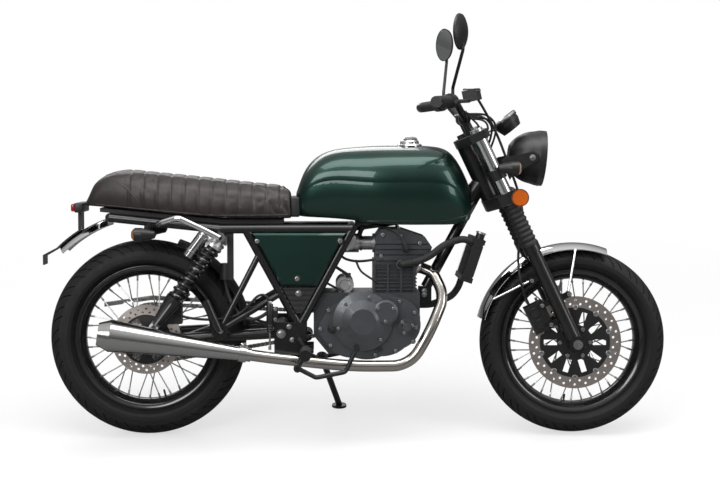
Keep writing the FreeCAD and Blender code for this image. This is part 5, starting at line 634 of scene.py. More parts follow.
tyre("FrontTyreTread", "front_wheel", "front_tyre", FRONT_AXLE, FRONT_RADIUS, 0.055, 0.046, 0.021,
     26, 0.30)
tyre("RearTyreTread", "rear_wheel", "rear_tyre", REAR_AXLE, REAR_RADIUS, 0.065, 0.054, 0.027,
     24, 0.33)


def laced_rim(name, body, node, centre):
    """A black rim with its flanges, and a nipple on each of the hub's thirty-six spokes."""
    half = RIM_HALF
    rings = [(-half, 0.2265), (-0.0355, 0.2268), (-0.0348, 0.216), (-0.017, 0.2135),
             (-0.012, 0.204), (0.012, 0.204), (0.017, 0.2135), (0.0348, 0.216), (0.0355, 0.2268),
             (half, 0.2265), (half - 0.0005, 0.2195), (0.031, 0.2085), (0.017, 0.1975),
             (0.010, 0.1955), (-0.010, 0.1955), (-0.017, 0.1975), (-0.031, 0.2085),
             (-half + 0.0005, 0.2195), (-half, 0.2265)]
    hoop = turned(centre, LEFT, rings, 144, ring_closed=True)
    bevelled(hoop, 0.0008, 2, 40)
    painted(hoop, RIM_BLACK)

    def around(radius, angle, side):
        """A point at a radius and an angle round the wheel's axle."""
        return centre + Vector((radius * math.cos(angle), side, radius * math.sin(angle)))

    nipples = []
    for spoke in range(SPOKES):
        side = 1 if spoke % 2 else -1
        lean = 1 if spoke // 2 % 2 else -1
        angle = 2 * math.pi * spoke / SPOKES
        rim_end = around(0.1955, angle, side * 0.007)
        hub_end = around(0.038, angle + lean * math.pi / 3, side * 0.030 + lean * 0.003)
        way = (hub_end - rim_end).normalized()
        nipples.append(bar(rim_end, rim_end + way * 0.015, 0.0033, 6, 0.0005))
    metal = joined("Nipples", nipples)
    painted(metal, SPOKE_STEEL)
    return done([hoop, metal], name, body, RIM_BLACK, node, angle=40)


SPOKE_STEEL = finish("SpokeSteel", (0.46, 0.46, 0.46), metallic=1.0, roughness=0.28, mottle=0.12,
                     mottle_scale=40, swing=0.16)
laced_rim("FrontRimLaced", "front_wheel", "front_rim", FRONT_AXLE)
laced_rim("RearRimLaced", "rear_wheel", "rear_rim", REAR_AXLE)


def two_tone(name, axle, band_radius, colour, tint, roughness):
    """Bright steel outside a radius about an axle and black inside it, on one solid."""
    material = finish(name, colour, metallic=1.0, roughness=roughness, mottle=0.05,
                      mottle_scale=12, swing=0.04, tint=tint)
    tree = material.node_tree
    shader = tree.nodes["Principled BSDF"]
    place = add_node(tree, "ShaderNodeTexCoord").outputs["Object"]
    offset = add_node(tree, "ShaderNodeVectorMath", {0: place, 1: PARKED @ axle},
                      operation="SUBTRACT")
    across = add_node(tree, "ShaderNodeVectorMath", {
        0: offset.outputs["Vector"], 1: PARKED.to_3x3() @ LEFT}, operation="CROSS_PRODUCT")
    reach = add_node(tree, "ShaderNodeVectorMath", {0: across.outputs["Vector"]},
                     operation="LENGTH")
    outside = add_node(tree, "ShaderNodeMath", {0: reach.outputs["Value"], 1: band_radius},
                       operation="GREATER_THAN").outputs["Value"]
    blend = add_node(tree, "ShaderNodeMix", {
        "Factor": outside, "A": (0.010, 0.010, 0.010, 1),
        "B": shader.inputs["Base Color"].links[0].from_socket}, data_type="RGBA")
    feed(tree, shader, {"Metallic": outside, "Base Color": blend.outputs["Result"]})
    return material


DISC_TONES = ((0.54, 0.485, 0.45), (0.58, 0.52, 0.48), 0.32)
SPOKE_TONES = ((0.44, 0.44, 0.44), (0.50, 0.50, 0.50), 0.28)
for node, name, axle, radius, tones in (
        ("front_disc", "FrontDiscSteel", FRONT_AXLE, 0.1105, DISC_TONES),
        ("rear_disc", "RearDiscSteel", REAR_AXLE, 0.0775, DISC_TONES),
        ("front_hub", "FrontHubSpokes", FRONT_AXLE, 0.0452, SPOKE_TONES),
        ("rear_hub", "RearHubSpokes", REAR_AXLE, 0.0452, SPOKE_TONES)):
    painted(frame["nodes"][node], two_tone(name, axle, radius, *tones))


def wheel_ring(axle, offset, radius, count, start):
    """Places round a wheel's axle on its right face, with the first one a share of a step on."""
    places = []
    for step in range(count):
        angle = 2 * math.pi * (step + start) / count
        places.append((axle + Vector((radius * math.sin(angle), -offset,
                                      radius * math.cos(angle))), RIGHT))
    return places


fastened("FrontDiscBolts", "front_wheel", cap_bolt(0.0062, 0.005),
         wheel_ring(FRONT_AXLE, 0.0702, 0.047, 6, 0.5))
fastened("RearDiscBolts", "rear_wheel", cap_bolt(0.0062, 0.005),
         wheel_ring(REAR_AXLE, 0.0782, 0.040, 5, 0.5))
bobbin = turned((0, 0, 0), UP, [(0, 0.0085), (0.0014, 0.0085), (0.0020, 0.0072),
                                (0.0020, 0.0042), (0.0008, 0.0036)], 24)
fastened("FrontDiscBobbins", "front_wheel", bobbin,
         wheel_ring(FRONT_AXLE, 0.0700, 0.1105, 10, 0))


def valve(name, body, axle, degrees):
    """A tyre valve with its cap, pointing to the axle."""
    angle = math.radians(degrees)
    out = Vector((math.sin(angle), 0, math.cos(angle)))
    stem = turned(axle + out * 0.1970, -out, [(0, 0.0042), (0.004, 0.0032), (0.010, 0.0028),
                                              (0.010, 0.0034), (0.022, 0.0031)], 16)
    return done(stem, name, body, RUBBER)


valve("FrontValve", "front_wheel", FRONT_AXLE, 187)
valve("RearValve", "rear_wheel", REAR_AXLE, 165)


# The seat: blown up by cloth pressure from a slightly smaller copy of its solid, then sewn.
CHANNEL_FIRST = -0.046
CHANNEL_STEP = 0.0422
CHANNELS = 12
CHANNEL_WIDTH = 0.0042
CHANNEL_DEPTH = 0.0030
CHANNEL_SWELL = 0.0006


def seat():
    """The cushion with its sewn channels, which stands for the seat's solid."""
    cushion = upright_copy("seat", "SaddleCushion")
    middle = sum((Vector(corner) for corner in cushion.bound_box), Vector()) / 8
    slim = Matrix.Diagonal((0.988, 0.955, 0.955, 1))
    cushion.data.transform(Matrix.Translation(middle) @ slim @ Matrix.Translation(-middle))
    with_modifier(cushion, "REMESH", mode="VOXEL", voxel_size=0.006)
    with_modifier(cushion, "SMOOTH", factor=0.5, iterations=4)
    base = cushion.vertex_groups.new(name="Base")
    base.add([point.index for point in cushion.data.vertices if point.normal.z < -0.45],
             1.0, "REPLACE")
    start = [point.co.copy() for point in cushion.data.vertices]
    pick(cushion)
    cloth = cushion.modifiers.new("Padding", "CLOTH")
    cloth.settings.quality = 5
    cloth.settings.mass = 0.25
    cloth.settings.tension_stiffness = 20
    cloth.settings.compression_stiffness = 20
    cloth.settings.use_pressure = True
    cloth.settings.uniform_pressure_force = 4
    cloth.settings.vertex_group_mass = "Base"
    cloth.settings.effector_weights.gravity = 0
    cloth.collision_settings.use_collision = False
    for step in range(1, 21):
        bpy.context.scene.frame_set(step)
    bpy.ops.object.modifier_apply(modifier=cloth.name)
    bpy.context.scene.frame_set(1)
    cap = 0.007
    for point, first in zip(cushion.data.vertices, start):
        moved = point.co - first
        if moved.length > cap:
            point.co = first + moved * (cap / moved.length)
    with_modifier(cushion, "SUBSURF", levels=1)
    cushion.data.update()
    normals = [point.normal.copy() for point in cushion.data.vertices]
    for point, out in zip(cushion.data.vertices, normals):
        if out.z < -0.5:
            continue
        along = (point.co.x - CHANNEL_FIRST) / CHANNEL_STEP
        near = min(max(round(along), 0), CHANNELS - 1)
        gap = (point.co.x - CHANNEL_FIRST - near * CHANNEL_STEP) / CHANNEL_WIDTH
        depth = CHANNEL_DEPTH * math.exp(-gap * gap)
        if CHANNEL_FIRST < point.co.x < CHANNEL_FIRST + CHANNEL_STEP * (CHANNELS - 1):
            depth -= CHANNEL_SWELL * math.sin(math.pi * (along % 1)) ** 2
        point.co -= out * depth
    cushion.data.update()
    done(cushion, "SaddleCushion", "chassis", LEATHER, "seat", angle=80)
    return cushion


SEAT = seat()


def edge_wires(surface, start, end, steps, height, lift, radius):
    """A wire on each side along a piece's lower edge, at the height that each x gives."""
    wires = []
    for way in (-1, 1):
        run = []
        for step in range(steps + 1):
            x = start + (end - start) * step / steps
            place = on_surface(surface, (x, way * 0.3, height(x)), LEFT * -way, lift)
            if place is not None:
                run.append(place)
        wires.append(wire(run, radius, smooth_steps=6))
    return wires


def seat_trim():
    """The piping round the front of the ribbed top, and the piping along the lower edge."""
    surface = copy_of(SEAT, PARKED.inverted())
    side_path = [(-0.006, 0.716), (-0.020, 0.738), (-0.036, 0.760), (-0.060, 0.782),
                 (-0.092, 0.800)]
    seam = [on_surface(surface, (x, -0.3, z), LEFT, -0.0004) for x, z in side_path]
    seam += [on_surface(surface, (-0.128 + side * side * 3, side, 1.0), -UP, -0.0004)
             for side in (-0.070, -0.045, -0.015, 0.015, 0.045, 0.070)]
    seam += [on_surface(surface, (x, 0.3, z), RIGHT, -0.0004) for x, z in reversed(side_path)]
    done(wire([place for place in seam if place is not None], 0.0026, smooth_steps=8),
         "SaddlePiping", "chassis", PIPING)
    done(edge_wires(surface, -0.150, 0.440, 21, lambda x: 0.694 + max(0.0, 0.2 - x) * 0.095,
                    -0.0006, 0.0024), "SaddleEdgePiping", "chassis", PIPING)
    bpy.data.objects.remove(surface)


seat_trim()


# The tank's seam and cap, and the side covers' fasteners.
def tank_trim():
    """The welded seam along the tank's lower edge."""
    shell = upright_copy("tank", "TankGuide")
    done(edge_wires(shell, 0.482, 0.994, 25, lambda x: 0.6745 + max(0.0, x - 0.93) * 0.25,
                    -0.0012, 0.0028), "TankSeam", "chassis", FRAME_BLACK)
    bpy.data.objects.remove(shell)


tank_trim()


def filler_cap():
    """A bright cap on a flange with a ring of screws and a winged grip over the lock."""
    centre = Vector((0.822, 0, 0.9052))
    flange = turned(centre, UP, [(0, 0.0385), (0.004, 0.0392), (0.0065, 0.0375), (0.0075, 0.034),
                                 (0.0085, 0.0300), (0.016, 0.0290), (0.0185, 0.0270),
                                 (0.0195, 0.0200), (0.0195, 0.0120)], 72)
    wing = plate([(-0.026, 0), (-0.022, 0.0095), (-0.012, 0.0125), (0.012, 0.0125),
                  (0.022, 0.0095), (0.026, 0)], 0.009, 0.0018)
    wing.data.transform(Matrix.Translation(centre + UP * 0.0185) @ FACE_RIGHT)
    lock = turned(centre + UP * 0.0188, UP, [(0, 0.0085), (0.0035, 0.0085), (0.0042, 0.0078),
                                             (0.0042, 0.0030)], 32)
    screw = cap_bolt(0.0028, 0.0022)
    ring = scattered("CapScrews", screw, [
        (centre + Vector((0.0345 * math.cos(turn), 0.0345 * math.sin(turn), 0.0062)), UP)
        for turn in [math.pi * 2 * step / 6 + 0.3 for step in range(6)]])
    done([flange, wing, lock, ring], "FillerCapBright", "chassis", CHROME, "filler_cap")


filler_cap()


def cover_screws():
    """Three button screws in rubber washers on each side cover, and a bolt on each lower panel."""
    covers = seated("side_covers", mirrored((0.348, 0.3, 0.616), (0.602, 0.3, 0.616),
                                            (0.470, 0.3, 0.500)))
    done([turned(face, out, [(0, 0.0105), (0.0016, 0.0105), (0.0022, 0.0092)], 28)
          for face, out in covers], "CoverWashers", "chassis", RUBBER)
    fastened("CoverScrews", "chassis", cap_bolt(0.0068, 0.0038),
             [(face + out * 0.0018, out) for face, out in covers])
    fastened("PanelBolts", "chassis", hex_bolt(0.0075, 0.007),
             seated("side_panels", mirrored((0.474, 0.3, 0.455))))


cover_screws()


# The engine: fasteners, caps and small castings on the solids that carry them.
PLATE_FACE = -0.1233
COVER_REAR, COVER_FRONT, COVER_LOW, COVER_HIGH = 0.535, 0.849, 0.254, 0.448
COVER_RING = ((0.02, 0.46), (0.10, 0.76), (0.30, 0.92), (0.54, 0.955), (0.80, 0.90), (0.945, 0.72),
              (0.96, 0.48), (0.93, 0.26), (0.76, 0.11), (0.56, 0.045), (0.34, 0.045), (0.12, 0.20))


def cover_point(across, up, y):
    """A point of the clutch cover, by its shares across and up the outline's box."""
    return Vector((COVER_REAR + (COVER_FRONT - COVER_REAR) * across, y,
                   COVER_LOW + (COVER_HIGH - COVER_LOW) * up))


def ring_places(x, z, y, radius, count, start=0.0, way=RIGHT):
    """Places round a circle on a face that looks sideways."""
    places = []
    for step in range(count):
        angle = start + math.pi * 2 * step / count
        places.append((Vector((x + radius * math.cos(angle), y, z + radius * math.sin(angle))),
                       way))
    return places


def right_cover():
    """Bosses and bolts on the clutch cover, the oil filler and the sight glass."""
    bosses = []
    for across, up in COVER_RING:
        foot = cover_point(across, up, PLATE_FACE + 0.022)
        bosses.append(turned(foot, RIGHT, [(0, 0.0085), (0.0215, 0.0085), (0.0228, 0.0074)], 24))
    done(bosses, "ClutchCoverBosses", "chassis", CASE_COVER)
    places = [(cover_point(across, up, PLATE_FACE - 0.0006), RIGHT) for across, up in COVER_RING]
    places += ring_places(0.742, 0.397, -0.1512, 0.0270, 3, 0.5)
    places += ring_places(0.672, 0.368, -0.1423, 0.0780, 6, 0.26)
    places += ring_places(0.806, 0.352, -0.1421, 0.0195, 3, 0.2)
    fastened("ClutchCoverBolts", "chassis", cap_bolt(0.0052, 0.0048), places)
    filler = turned((0.578, PLATE_FACE, 0.345), RIGHT,
                    [(0, 0.0150), (0.004, 0.0150), (0.0055, 0.0138), (0.0055, 0.0120),
                     (0.0120, 0.0112), (0.0132, 0.0100)], 40)
    grip = slab((0.578, PLATE_FACE - 0.0150, 0.345), (0.021, 0.006, 0.0045),
                Matrix.Rotation(0.6, 4, "Y"), 0.0012)
    done([filler, grip], "OilFiller", "chassis", PLASTIC)
    glass = turned((0.722, PLATE_FACE, 0.281), RIGHT,
                   [(0, 0.0125), (0.0030, 0.0125), (0.0040, 0.0112), (0.0034, 0.0098),
                    (0.0026, 0.0092)], 36)
    done(glass, "OilSightGlass", "chassis", DIAL)


right_cover()


def left_cover():
    """Bolts on the generator and drive sprocket covers of the far side."""
    rings = ring_places(0.690, 0.355, 0.3, 0.0800, 8, 0.2, LEFT)
    rings += ring_places(0.588, 0.355, 0.3, 0.0520, 4, 0.9, LEFT)
    fastened("GeneratorBolts", "chassis", cap_bolt(0.0052, 0.0048), seated("engine_covers", rings))


left_cover()


def head_details():
    """Head cover bolts, the plug's cap and lead, a hose clamp and the barrel's fins."""
    starts = []
    for side in (-1, 1):
        starts += [((x, side * 0.3, z), LEFT * side) for x, z in (
            (0.735, 0.632), (0.790, 0.628), (0.850, 0.606), (0.730, 0.566), (0.868, 0.566))]
        starts += [((x, side * 0.055, 0.9), UP) for x in (0.742, 0.785)]
    fastened("HeadBolts", "chassis", cap_bolt(0.0060, 0.0055), seated("cylinder_head", starts))
    plug = turned((0.806, -0.0842, 0.588), RIGHT, [
        (0, 0.0110), (0.004, 0.0110), (0.004, 0.0088), (0.018, 0.0080), (0.020, 0.0092),
        (0.026, 0.0092), (0.028, 0.0080)], 28)
    elbow = bent([(0.806, -0.106, 0.588), (0.806, -0.118, 0.588), (0.800, -0.118, 0.606)],
                 0.0078, 0.010)
    done([plug, elbow], "PlugCap", "chassis", RUBBER)
    done(wire([(0.800, -0.118, 0.604), (0.792, -0.116, 0.628), (0.768, -0.104, 0.646),
               (0.735, -0.070, 0.655), (0.700, -0.040, 0.660)], 0.0036),
         "PlugLead", "chassis", RUBBER)
    done(band((0.790, -0.0745, 0.540), RIGHT, 0.0128, 0.0132, 0.0100, 0.0005, 36),
         "HoseClampLow", "chassis", ZINC)
    levels = [0.459 + level * 0.0112 for level in range(7)]
    fins = [slab((0.772, side * 0.0655, z), (0.118, 0.0068, 0.0032), None, 0.0008, 1)
            for side in (-1, 1) for z in levels]
    fins += [slab((0.8405, 0, z), (0.0052, 0.110, 0.0032), None, 0.0008, 1) for z in levels]
    done(fins, "BarrelFins", "chassis", CASTING)


head_details()


def starter_and_throttle():
    """The starter's end cap, the throttle's pulley, the injector and the intake's clamps."""
    cap = turned((0.617, -0.0603, 0.474), RIGHT, [
        (-0.012, 0.0284), (0.0, 0.0284), (0.0022, 0.0268), (0.0022, 0.0170), (0.0050, 0.0150),
        (0.0050, 0.0070)], 48)
    screws = scattered("StarterScrews", cap_bolt(0.0030, 0.0024),
                       ring_places(0.617, 0.474, -0.0626, 0.0215, 2, 0.9))
    done([cap, screws], "StarterCap", "chassis", ALLOY)
    pulley = turned((0.631, -0.0465, 0.602), RIGHT, [
        (0, 0.0185), (0.0016, 0.0185), (0.0036, 0.0150), (0.0056, 0.0185), (0.0072, 0.0185),
        (0.0072, 0.0080), (0.0100, 0.0070)], 40)
    bracket = side_plate([(0.608, 0.586), (0.626, 0.580), (0.648, 0.600), (0.652, 0.624),
                          (0.640, 0.634), (0.616, 0.622)], -0.0555, 0.0026, 0.0006)
    done([pulley, bracket], "ThrottlePulley", "chassis", ALLOY)
    done([bar((0.662, -0.012, 0.624), (0.672, -0.020, 0.652), 0.0075, 20, 0.0008),
          bar((0.670, -0.018, 0.646), (0.673, -0.021, 0.656), 0.0095, 20, 0.0008)],
         "Injector", "chassis", PLASTIC)
    done([band((x, 0, 0.602), AHEAD, 0.0232, 0.0244, 0.0080, 0.0004, 48)
          for x in (0.6645, 0.7045)], "IntakeClamps", "chassis", ZINC)


starter_and_throttle()


def mount_bolts():
    """Hexagon bolts at the engine plates and hangers, and the pivot's nuts."""
    fastened("FrameBolts", "chassis", hex_bolt(0.0062, 0.0062), mirrored(
        (0.868, 0.0232, 0.440), (0.868, 0.0232, 0.452), (0.236, 0.1602, 0.342),
        (0.4445, 0.1341, 0.3530), (0.4545, 0.1341, 0.3120)))
    fastened("PivotNuts", "chassis", hex_bolt(0.0105, 0.0095), mirrored((0.420, 0.1343, 0.330)))


mount_bolts()


def radiator_face():
    """Slats on both faces of the core with upright bars in front, and the cap on its neck."""
    top = Vector((1.036, 0, 0.619))
    foot = Vector((0.992, 0, 0.486))
    up = (top - foot).normalized()
    ahead = Vector((up.z, 0, -up.x))
    turn = Matrix((ahead, LEFT, up)).transposed().to_4x4()
    middle = (top + foot) / 2
    slats = []
    for step in range(25):
        shift = (step - 12) * 0.0041
        for face in (-1, 1):
            slats.append(slab(middle + up * shift + ahead * face * 0.0158,
                              (0.0062, 0.176, 0.0011), turn, 0))
    for step in range(15):
        side = (step - 7) * 0.0118
        slats.append(slab(middle + ahead * 0.0166 + LEFT * side, (0.0046, 0.0016, 0.100), turn, 0))
    done(slats, "RadiatorCore", "chassis", SATIN_BLACK)
    neck = top - LEFT * 0.072 + up * 0.0155
    cap = turned(neck, up, [(0, 0.0150), (0.0012, 0.0162), (0.0045, 0.0162), (0.0060, 0.0145),
                            (0.0060, 0.0060)], 40)
    done(cap, "RadiatorCap", "chassis", ALLOY)


radiator_face()


# The front end: lamp, gauge, indicators, mirrors, bar fittings, fork caps and caliper.
LAMP_TILT = math.radians(5)
LAMP_WAY = Vector((math.cos(LAMP_TILT), 0, -math.sin(LAMP_TILT)))
LAMP_CENTRE = fork_point(0.583, 0.122)


def lamp():
    """The reflector and bulb behind the glass, the rim with its screw, and the side bolts."""
    reflector = turned(LAMP_CENTRE, LAMP_WAY, [
        (-0.030, 0.010), (-0.022, 0.030), (-0.006, 0.052), (0.018, 0.070), (0.034, 0.0775),
        (0.034, 0.0760), (0.016, 0.067), (-0.006, 0.048), (-0.024, 0.026), (-0.033, 0.010)],
                       96)
    done(reflector, "LampReflector", "fork", CHROME)
    bulb = turned(LAMP_CENTRE, LAMP_WAY, [(-0.030, 0.008), (-0.010, 0.008), (-0.008, 0.010),
                                          (0.010, 0.010), (0.014, 0.007), (0.016, 0.002)], 32)
    done(bulb, "LampBulb", "fork", ALLOY)
    rim = turned(LAMP_CENTRE, LAMP_WAY, [
        (0.0262, 0.0862), (0.0268, 0.0868), (0.0290, 0.0868), (0.0300, 0.0860), (0.0430, 0.0858),
        (0.0466, 0.0840), (0.0472, 0.0815), (0.0464, 0.0800)], 120)
    done(rim, "LampRim", "fork", BLACK_CHROME)
    low = LAMP_CENTRE + LAMP_WAY * 0.036 - Vector((LAMP_WAY.z, 0, -LAMP_WAY.x)) * -0.0865
    fastened("LampRimScrew", "fork", cap_bolt(0.0030, 0.0016), [(low, low - LAMP_CENTRE)])
    fastened("LampBolts", "fork", hex_bolt(0.0075, 0.0070),
             [(LAMP_CENTRE + LEFT * side * 0.0985, LEFT * side) for side in (-1, 1)])


lamp()


def gauge_face():
    """The gauge's bezel, dial, marks and hand."""
    tip = math.radians(39)
    facing = Vector((-math.sin(tip), 0, math.cos(tip)))
    top, way = seated("gauge", [(fork_point(0.705, 0.108) + facing * 0.2, facing)])[0]
    done(turned(top, facing, [(-0.0040, 0.0432), (0.0006, 0.0432), (0.0022, 0.0415),
                              (0.0022, 0.0375), (0.0006, 0.0362), (-0.0040, 0.0362)], 96),
         "GaugeBezel", "fork", CHROME)
    done(turned(top, facing, [(-0.0030, 0.0362), (0.0004, 0.0362), (0.0004, 0.0100)], 72),
         "GaugeDial", "fork", DIAL)
    marks = []
    for step in range(25):
        out, wide, tall = (0.0310, 0.0007, 0.0032) if step % 2 else (0.0298, 0.0011, 0.0058)
        mark = slab((0, out, 0.0007), (wide, tall, 0.0005), None, 0)
        mark.data.transform(aimed(top, facing, math.radians(-130 + 260 * step / 24)))
        marks.append(mark)
    done(marks, "GaugeMarks", "fork", DIAL_MARK)
    hand = plate([(-0.0012, -0.006), (0.0012, -0.006), (0.0004, 0.026), (-0.0004, 0.026)], 0.0008)
    hand.data.transform(aimed(top + facing * 0.0009, facing, math.radians(-128)))
    hub = turned(top, facing, [(0.0004, 0.0042), (0.0014, 0.0040), (0.0018, 0.0030)], 28)
    done([hand, hub], "GaugeHand", "fork", RED)


gauge_face()


def indicator_caps():
    """The lenses on the bullets' ends, front and rear, each with a thin bright ring."""
    for name, body, node, way, glass in (
            ("FrontIndicatorLenses", "fork", "front_indicators", AHEAD, SMOKE_LENS),
            ("RearIndicatorLenses", "chassis", "rear_indicators", -AHEAD, AMBER_LENS)):
        caps, rings = [], []
        guide = upright_copy(node, "BulletGuide")
        reach = [point.co for point in guide.data.vertices]
        for side in (-1, 1):
            own = [place for place in reach if place.y * side > 0]
            tip = max(own, key=lambda place: place.dot(way))
            level = [place for place in own if (tip - place).dot(way) < 0.020]
            middle = sum(level, Vector()) / len(level)
            base = Vector((tip.x, middle.y, middle.z)) - way * 0.0110
            caps.append(turned(base, way, [(0.0, 0.0182), (0.0012, 0.0188), (0.0040, 0.0180),
                                           (0.0075, 0.0150), (0.0100, 0.0095), (0.0109, 0.002)],
                               48))
            rings.append(turned(base, way, [(-0.0010, 0.0208), (0.0006, 0.0208),
                                            (0.0014, 0.0196), (0.0014, 0.0184)], 48))
        bpy.data.objects.remove(guide)
        done(caps, name, body, glass, slot="amber_lens", angle=60)
        done(rings, name.replace("Lenses", "Rings"), body, CHROME)


indicator_caps()


def reflectors():
    """The dark ring round each orange reflector."""
    guide = upright_copy("side_reflectors", "ReflectorGuide")
    rings = []
    for side in (-1, 1):
        own = [point.co for point in guide.data.vertices if point.co.y * side > 0]
        middle = Vector([sum(axis) / len(own) for axis in zip(*own)])
        face = max(own, key=lambda place: place.y * side).y
        rings.append(turned((middle.x, face - side * 0.0042, middle.z), LEFT * side,
                            [(0, 0.0272), (0.0034, 0.0272), (0.0044, 0.0262), (0.0044, 0.0240)],
                            64, ring_closed=True))
    bpy.data.objects.remove(guide)
    done(rings, "ReflectorRings", "fork", PLASTIC)


reflectors()


def mirror_glass():
    """The silvered glass set into each mirror's head."""
    guide = upright_copy("mirrors", "MirrorGuide")
    panes = []
    for side in (-1, 1):
        turn = math.radians(26)
        facing = Vector((-math.cos(turn), -math.sin(turn) * side, 0))
        centre = Vector((0.952, side * 0.305, 1.243))
        face = on_surface(guide, centre + facing * 0.15, -facing)
        if face is None:
            continue
        face = centre + facing * (face - centre).dot(facing)
        panes.append(turned(face, facing, [(-0.0004, 0.0505), (0.0014, 0.0505),
                                           (0.0018, 0.0490)], 72))
    bpy.data.objects.remove(guide)
    done(panes, "MirrorGlass", "fork", MIRROR_GLASS)


mirror_glass()


def grip_line(side):
    """A grip's outer end, and the way along it to the middle of the bar."""
    tip = Vector((0.879, side * 0.360, 1.036))
    return tip, (Vector((0.952, side * 0.158, 1.044)) - tip).normalized()


def bar_fittings():
    """Bar end rings, grip ribs, switches, the reservoir's lid and the risers' bolts."""
    ends, ribs, buttons, risers = [], [], [], []
    for side in (-1, 1):
        tip, inward = grip_line(side)
        ends.append(turned(tip, inward, [(0.0004, 0.0100), (0.0004, 0.0158), (0.0016, 0.0166),
                                         (0.0040, 0.0166), (0.0052, 0.0158)], 40))
        ribs += [band(tip + inward * (0.030 + step * 0.0082), inward, 0.0166, 0.0171, 0.0044,
                      0.0006, 32) for step in range(13)]
        ribs.append(band(tip + inward * 0.1350, inward, 0.0168, 0.0195, 0.0036, 0.0006, 36))
        switch = tip + inward * 0.158
        buttons.append(slab(switch + UP * 0.0205, (0.014, 0.020, 0.005), None, 0.0016))
        buttons.append(bar(switch + Vector((-0.019, 0, 0.008)),
                           switch + Vector((-0.0245, 0, 0.010)), 0.0048, 20, 0.0008))
        riser = fork_point(0.779, -0.014, side * 0.042)
        risers += [(riser + LEG_AHEAD * shift + LEG_UP * 0.0178 + LEFT * side * 0.002, LEG_UP)
                   for shift in (-0.013, 0.013)]
    done(ends, "BarEndRings", "fork", CHROME)
    done(ribs, "GripRibs", "fork", RUBBER)
    done(buttons, "SwitchButtons", "fork", PLASTIC)
    tip, inward = grip_line(-1)
    done(slab(tip + inward * 0.160 + Vector((-0.0180, 0, 0.0135)), (0.010, 0.015, 0.008),
              Matrix.Rotation(-0.6, 4, "Y"), 0.0016), "StopSwitch", "fork", RED)
    cup = Vector((1.0002, -0.1836, 1.0602))
    turn = Matrix.Rotation(math.atan2(-inward.x, inward.y), 4, "Z")
    done(slab(cup + UP * 0.0172, (0.0425, 0.0545, 0.0042), turn, 0.0016),
         "ReservoirLid", "fork", SATIN_BLACK, slot="leg_black")
    done(slab(cup + UP * 0.0142, (0.0440, 0.0560, 0.0016), turn, 0.0004),
         "ReservoirGasket", "fork", ALLOY)
    fastened("LidScrews", "fork", cap_bolt(0.0028, 0.0010), [
        (cup + turn.to_3x3() @ Vector((x, y, 0.0192)), UP)
        for x, y in ((0.0155, 0.0215), (-0.0155, 0.0215), (0.0155, -0.0215), (-0.0155, -0.0215))])
    fastened("RiserBolts", "fork", cap_bolt(0.0050, 0.0050), risers)


bar_fittings()


def fork_fittings():
    """Fork caps, pinch and leg bolts, the caliper's pistons and bleed screw, and gaiter clips."""
    caps, pinch, legs = [], [], []
    for side in (-1, 1):
        top = fork_point(0.735, 0, side * 0.100)
        caps.append(turned(top, LEG_UP, [(-0.0004, 0.0200), (0.0022, 0.0200), (0.0036, 0.0186),
                                         (0.0036, 0.0120)], 48))
        caps.append(bar(top + LEG_UP * 0.0030, top + LEG_UP * 0.0105, 0.0105, 6, 0.0009))
        pinch += [(fork_point(up, 0.0312, side * 0.100), LEG_AHEAD) for up in (0.502, 0.714)]
        spots = [(0.151, 0.043), (0.239, -0.043)]
        if side < 0:
            spots += [(0.089, -0.047), (0.155, -0.047)]
        legs += [(fork_point(up, ahead, side * 0.1083), LEFT * side) for up, ahead in spots]
    done(caps, "ForkCaps", "fork", ALLOY)
    fastened("PinchBolts", "fork", cap_bolt(0.0048, 0.0045), pinch)
    fastened("LegBolts", "fork", cap_bolt(0.0062, 0.0055), legs)
    pistons = seated("front_caliper", [(fork_point(up, -0.075, -0.3), RIGHT)
                                       for up in (0.102, 0.142)])
    done([turned(spot, way, [(0, 0.0165), (0.0024, 0.0165), (0.0040, 0.0150), (0.0040, 0.0118),
                             (0.0026, 0.0110)], 40) for spot, way in pistons],
         "CaliperPistons", "fork", SATIN_BLACK, slot="silver_alloy")
    done(bar(fork_point(0.169, -0.052, -0.060), fork_point(0.180, -0.052, -0.060), 0.0042, 6),
         "BleedScrew", "fork", ZINC)
    done([band(fork_point(up - 0.003, 0, side * 0.100), LEG_UP, 0.0262, 0.0274, 0.0060, 0.0004, 40)
          for side in (-1, 1) for up in (0.342, 0.478)],
         "GaiterClips", "fork", PLASTIC, slot="rubber")


fork_fittings()


def bar_leads():
    """The leads and cables that drop from the switches and levers behind the lamp."""
    leads = []
    for side, shift in ((-1, 0.0), (-1, 0.012), (1, 0.0), (1, 0.012)):
        leads.append(wire([
            (0.962, side * (0.166 - shift), 1.030), (0.984, side * (0.140 - shift), 1.004),
            (1.022, side * (0.104 - shift), 1.006 - shift), (1.058, side * 0.078, 1.004 - shift),
            (1.088 - shift, side * 0.062, 0.976), (1.086 - shift, side * 0.056, 0.938),
            (1.070 - shift, side * 0.052, 0.896), (1.066 - shift, side * 0.046, 0.862),
            (1.062 - shift, side * 0.034, 0.836)], 0.0034))
    for side in (-1, 1):
        leads.append(wire([
            (0.966, side * 0.190, 1.022), (1.000, side * 0.160, 0.992),
            (1.030, side * 0.112, 0.970), (1.048, side * 0.072, 0.930),
            (1.052, side * 0.050, 0.880), (1.056, side * 0.036, 0.842)], 0.0030))
    done(leads, "BarLeads", "fork", RUBBER)


bar_leads()


# The rear: shocks, silencer, chain pins, axle nuts, tail lamp, peg rubbers and brake hoses.
SHOCK_TOP = Vector((0.235, 0, 0.628))
SHOCK_FOOT = Vector((0.030, 0, 0.352))
SHOCK_SIDE = 0.141
SHOCK_WAY = (SHOCK_FOOT - SHOCK_TOP).normalized()
SHOCK_ACROSS = Vector((SHOCK_WAY.z, 0, -SHOCK_WAY.x))


